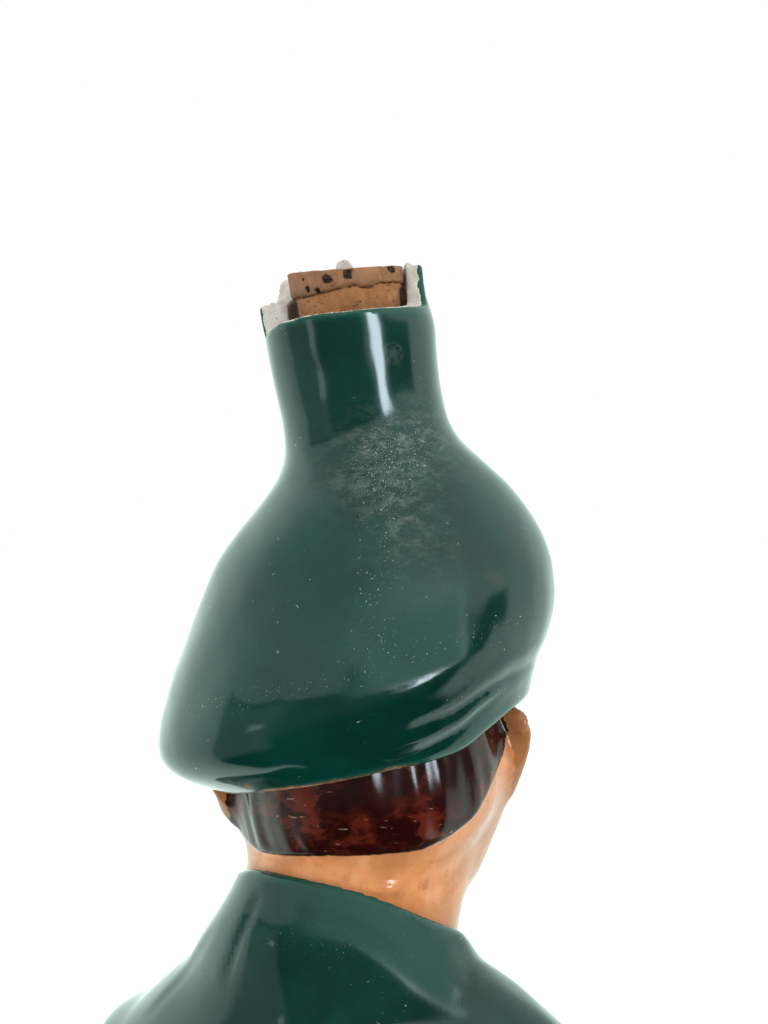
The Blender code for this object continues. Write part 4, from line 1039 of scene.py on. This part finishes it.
def make_head():
    ob = skinned("painted_head_and_neck", head_solid, (-44, -46, 64), (44, 46, 150), 0.62)
    P, x, y, z, r, b, u, v, w = frames_of(ob)
    a = np.abs(u)
    hair, psi = hair_at(u, v, w)
    neck = neck_column(r, b, z)
    on_ear = ear(u, v, w)
    outward = np.minimum(face(u, v, w), neck)
    hair = np.where(on_ear < outward - 0.35, np.minimum(hair, -(outward - on_ear - 0.35) * 1.2), hair)
    mark(ob, "hair", hair)
    mark(ob, "bare", np.maximum(-skin_surface(P) - 0.9, 0))
    front = v < -12
    far = -9.0
    arch = 10.8 + 1.5 * (1 - ((a - 10.0) / 6.8) ** 2)
    brow = (0.95 - 0.05 * np.maximum(a - 9, 0) ** 1.2) - np.abs(w - arch)
    mark(ob, "brow", np.where(front, np.minimum(brow, np.minimum(a - 4.2, 16.6 - a)), far))
    e = a - 10.5
    up, dn = 2.2 + 2.0 * (1 - (e / 5.4) ** 2) + 0.03 * e, 2.2 - 1.7 * (1 - (e / 5.6) ** 2) + 0.03 * e
    gap = np.minimum(up - w, w - dn)
    eye = np.where(front, np.minimum(gap, 5.2 - np.abs(e)), far)
    mark(ob, "eye", eye)
    mark(ob, "iris", np.minimum(eye, 1.95 - np.sqrt((a - 10.4) ** 2 + (w - 2.45) ** 2)))
    mark(ob, "pupil", np.minimum(eye, 0.85 - np.sqrt((a - 10.4) ** 2 + (w - 2.45) ** 2)))
    mark(ob, "lash", np.where(front & (np.abs(e) < 6), 0.30 - np.abs(w - up - 0.1) + 0.02 * e, far))
    top = ellipsoid(a, v, w - 0.08 * a, (3.0, -26.6, -18.6), (5.6, 2.2, 1.9))
    low = ellipsoid(u, v, w - 0.06 * a, (0, -26.4, -22.6), (6.6, 2.5, 2.3))
    mark(ob, "lips", np.where(front, 0.48 - np.minimum(top, low), far))
    mark(ob, "calm", smooth(-6, -16, v))
    mark(ob, "blush", np.where(front, bump(np.sqrt((a - 14.5) ** 2 + (w + 9) ** 2 * 1.3), 7.5), 0) + 0.5 * (on_ear < 0.6) * smooth(24, 30, a) * smooth(6, -4, v))
    # the ear, painted darker as shade
    mark(ob, "ear_painted_shade", (on_ear < 0.8) * smooth(23, 27, a))
    # painted shade round the ear and just above the jacket's neck edge
    mark(ob, "shade", np.maximum(bump(on_ear - 1.2, 1.6) * (a > 22) * (on_ear > 0.5), 0.9 * bump(z - neckline(x, y) - 0.2, 0.8)))
    ob.data.materials.append(flesh)
    return ob


def make_jacket():
    ob = skinned("glazed_jacket_and_foot", jacket_solid, (-76, -46, -4), (72, 44, 104), 1.12, None)
    P, x, y, z, r, b, u, v, w = frames_of(ob)
    surface = jacket_form(x, y, z, r, b) - jacket_relief(P, x, y, z)
    under = smooth(0.55, 0.15, z)
    mark(ob, "bare", np.maximum(np.where(surface < -0.2, 0.9, 0) * (z - neckline(x, y) < -2.5), 0.9 * under))
    mark(ob, "thin", bump(neckline(x, y) - z - 0.5, 0.8))
    for name in ("dust", "ragged", "tan", "ring"):
        mark(ob, name, np.zeros(len(P)))
    for name in ("stain", "blob"):
        mark(ob, name, np.full(len(P), -9.0))
    pits = np.maximum(bump(np.sqrt(((r - 26.6) / 1.3) ** 2 + ((z - 81.5) / 0.75) ** 2), 1.0), bump(np.sqrt(((r - 24.4) / 0.5) ** 2 + ((z - 79.5) / 0.5) ** 2), 1.0))
    mark(ob, "pinhole", pits * (b > 0))
    mark(ob, "line", 0.5 * bump(neckline(x, y) - z - 9, 6))
    # matte patches on the jacket, their lighter green a painted sheen
    matte_patch_off = np.sqrt(((r - 8.5) / 1.2) ** 2 + (z - 97.0) ** 2)
    q = z - shelf(r)
    mark(ob, "matte_and_painted_sheen", np.maximum(smooth(6.5, 3.0, matte_patch_off), smooth(6.8, 3.6, np.abs(q + 0.2)) * smooth(-9, 2, r) * smooth(27, 21, r)) * smooth(2, 8, b))
    ob.data.materials.append(glaze)
    return ob


def make_cork():
    ob = skinned("cork_stopper_piece", cork_solid, (-20, -16, 184), (14, 16, 220), 0.32)
    P, x, y, z, r, b, u, v, w = frames_of(ob)
    d, s, p, q = cork_frame(r, b, z)
    th = np.degrees(np.arctan2(p, q))
    mark(ob, "pit", smooth(1.12, 0.78, pit_at(P, th, s)) * (d > 8.5))
    mark(ob, "split", bump(s - crack_at(th) - 0.12 * waves(P, 2.2, 67), 0.17) * (np.abs(th) < 100) * (d > 8.5))
    mark(ob, "below", crack_at(th) - s)
    mark(ob, "above", s - crack_at(th))
    ob.data.materials.append(corkwood)
    return ob


glaze, flesh, corkwood = green_glaze(), painted_head(), cork_wood()
cap_piece, head_piece, jacket_piece, cork_piece = make_cap(), make_head(), make_jacket(), make_cork()
for piece in (cap_piece, head_piece, jacket_piece, cork_piece):
    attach(piece, "root")
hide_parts("bottle_body")
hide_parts("bottle_body")
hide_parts("bottle_body")
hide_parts("cork_stopper")


# ---------------------------------------------------------------- floor, light and camera
def make_floor():
    bm = bmesh.new()
    bmesh.ops.create_circle(bm, cap_ends=True, radius=6.0, segments=96)
    mesh = bpy.data.meshes.new("floor")
    bm.to_mesh(mesh)
    bm.free()
    ob = bpy.data.objects.new("floor", mesh)
    bpy.context.scene.collection.objects.link(ob)
    m, nt, sh = fresh("pale_floor")
    sh.inputs["Base Color"].default_value = (0.86, 0.86, 0.855, 1)
    sh.inputs["Roughness"].default_value = 0.9
    sh.inputs["Specular IOR Level"].default_value = 0.1
    mesh.materials.append(m)
    ob.visible_glossy = False


def make_studio():
    """A pale room seen in the glaze: open and bright at the sides and above, dim behind the camera, one tall soft light."""
    world = bpy.data.worlds.new("studio")
    bpy.context.scene.world = world
    world.use_nodes = True
    nt = world.node_tree
    nt.nodes.clear()
    way = node(nt, "SeparateXYZ", {0: node(nt, "TexCoord").outputs["Generated"]})
    X, Y, Z = way.outputs
    R = maths(nt, "MULTIPLY_ADD", X, -float(CY), maths(nt, "MULTIPLY", Y, -float(SY)))
    B = maths(nt, "MULTIPLY_ADD", X, -float(SY), maths(nt, "MULTIPLY", Y, float(CY)))
    az = maths(nt, "DEGREES", maths(nt, "ARCTAN2", R, B))
    el = maths(nt, "DEGREES", maths(nt, "ARCSINE", Z))

    def step(v, a, b):
        return ramp(nt, v, a, b)

    def both(*fs):
        out = fs[0]
        for f in fs[1:]:
            out = maths(nt, "MULTIPLY", out, f)
        return out

    room = mixed(nt, step(el, 15, 80), 1.34, 1.05)
    room = mixed(nt, maths(nt, "MULTIPLY", step(az, -112, -62), step(az, 20, -24)), room, mixed(nt, step(el, 24, 40), 1.0, 0.84))
    room = maths(nt, "MULTIPLY", room, mixed(nt, both(step(az, -86, -104), step(el, 10, -6)), 1.0, 0.95))
    room = maths(nt, "MULTIPLY", room, mixed(nt, step(az, -88, -112), 1.0, 1.30))
    dim = both(step(az, -90, -84), step(az, 88, 80), step(el, 18, 14))
    low = both(step(el, -2, -14), step(az, 62, 76))
    dim = maths(nt, "MULTIPLY", dim, maths(nt, "SUBTRACT", 1.0, low))
    side = both(step(az, -40, -50), step(el, 18, 8), step(el, -48, -34))
    room = mixed(nt, dim, room, mixed(nt, side, mixed(nt, step(el, -30, -6), 0.02, 0.17), 0.50))
    tall = both(step(el, -6, -1), step(el, 17.5, 14.5))
    strip = both(step(az, 25, 30), step(az, 44, 39), tall)
    halo = both(step(az, 16, 28), step(az, 52, 42), tall)
    lamp = maths(nt, "MULTIPLY_ADD", strip, 15.0, maths(nt, "MULTIPLY", halo, 1.6))
    spot = both(step(az, -58, -55), step(az, -47, -50), step(el, -8, -6), step(el, -1, -4))
    room = maths(nt, "MULTIPLY_ADD", spot, 1.5, room)
    tint = node(nt, "CombineColor", {0: maths(nt, "MULTIPLY_ADD", room, 0.80, maths(nt, "MULTIPLY", lamp, 0.80)),
                                     1: maths(nt, "MULTIPLY_ADD", lamp, 0.95, room),
                                     2: maths(nt, "MULTIPLY_ADD", room, 0.93, maths(nt, "MULTIPLY", lamp, 1.05))}).outputs[0]
    mirrored = node(nt, "Background", {"Color": tint, "Strength": 1.0}).outputs[0]
    sky = maths(nt, "MULTIPLY_ADD", step(el, 0, 75), 0.75, 0.86)
    sky = maths(nt, "MULTIPLY_ADD", both(step(az, 0, 30), step(az, 90, 60), step(el, -10, 10), step(el, 70, 40)), 0.9, sky)
    even = node(nt, "CombineColor", {0: sky, 1: sky, 2: sky}).outputs[0]
    soft = node(nt, "Background", {"Color": even, "Strength": 1.0}).outputs[0]
    plain = node(nt, "Background", {"Color": (1, 1, 1, 1), "Strength": 1.0}).outputs[0]
    path = node(nt, "LightPath")
    first = node(nt, "MixShader", {0: path.outputs["Is Glossy Ray"]})
    nt.links.new(soft, first.inputs[1])
    nt.links.new(mirrored, first.inputs[2])
    last = node(nt, "MixShader", {0: path.outputs["Is Camera Ray"]})
    nt.links.new(first.outputs[0], last.inputs[1])
    nt.links.new(plain, last.inputs[2])
    out = nt.nodes.new("ShaderNodeOutputWorld")
    nt.links.new(last.outputs[0], out.inputs["Surface"])


def make_camera():
    cam = bpy.data.cameras.new("camera")
    cam.sensor_fit = "VERTICAL"
    cam.sensor_height = 36.0
    cam.lens = 36.0 * 1300.0 / 1024.0
    cam.clip_start, cam.clip_end = 0.01, 30.0
    ob = bpy.data.objects.new("camera", cam)
    bpy.context.scene.collection.objects.link(ob)
    at = to_row(from_view(10.8, 260.0, 168.0)[None, :])[0]
    ob.location = at.tolist()
    look = Vector(from_view(0.0, -1.0, 0.0).tolist())
    ob.rotation_euler = look.to_track_quat("-Z", "Y").to_euler()
    bpy.context.scene.camera = ob


make_floor()
make_studio()
make_camera()
view = bpy.context.scene.view_settings
view.view_transform = "Standard"
view.look = "None"
view.exposure, view.gamma = 0.0, 1.0
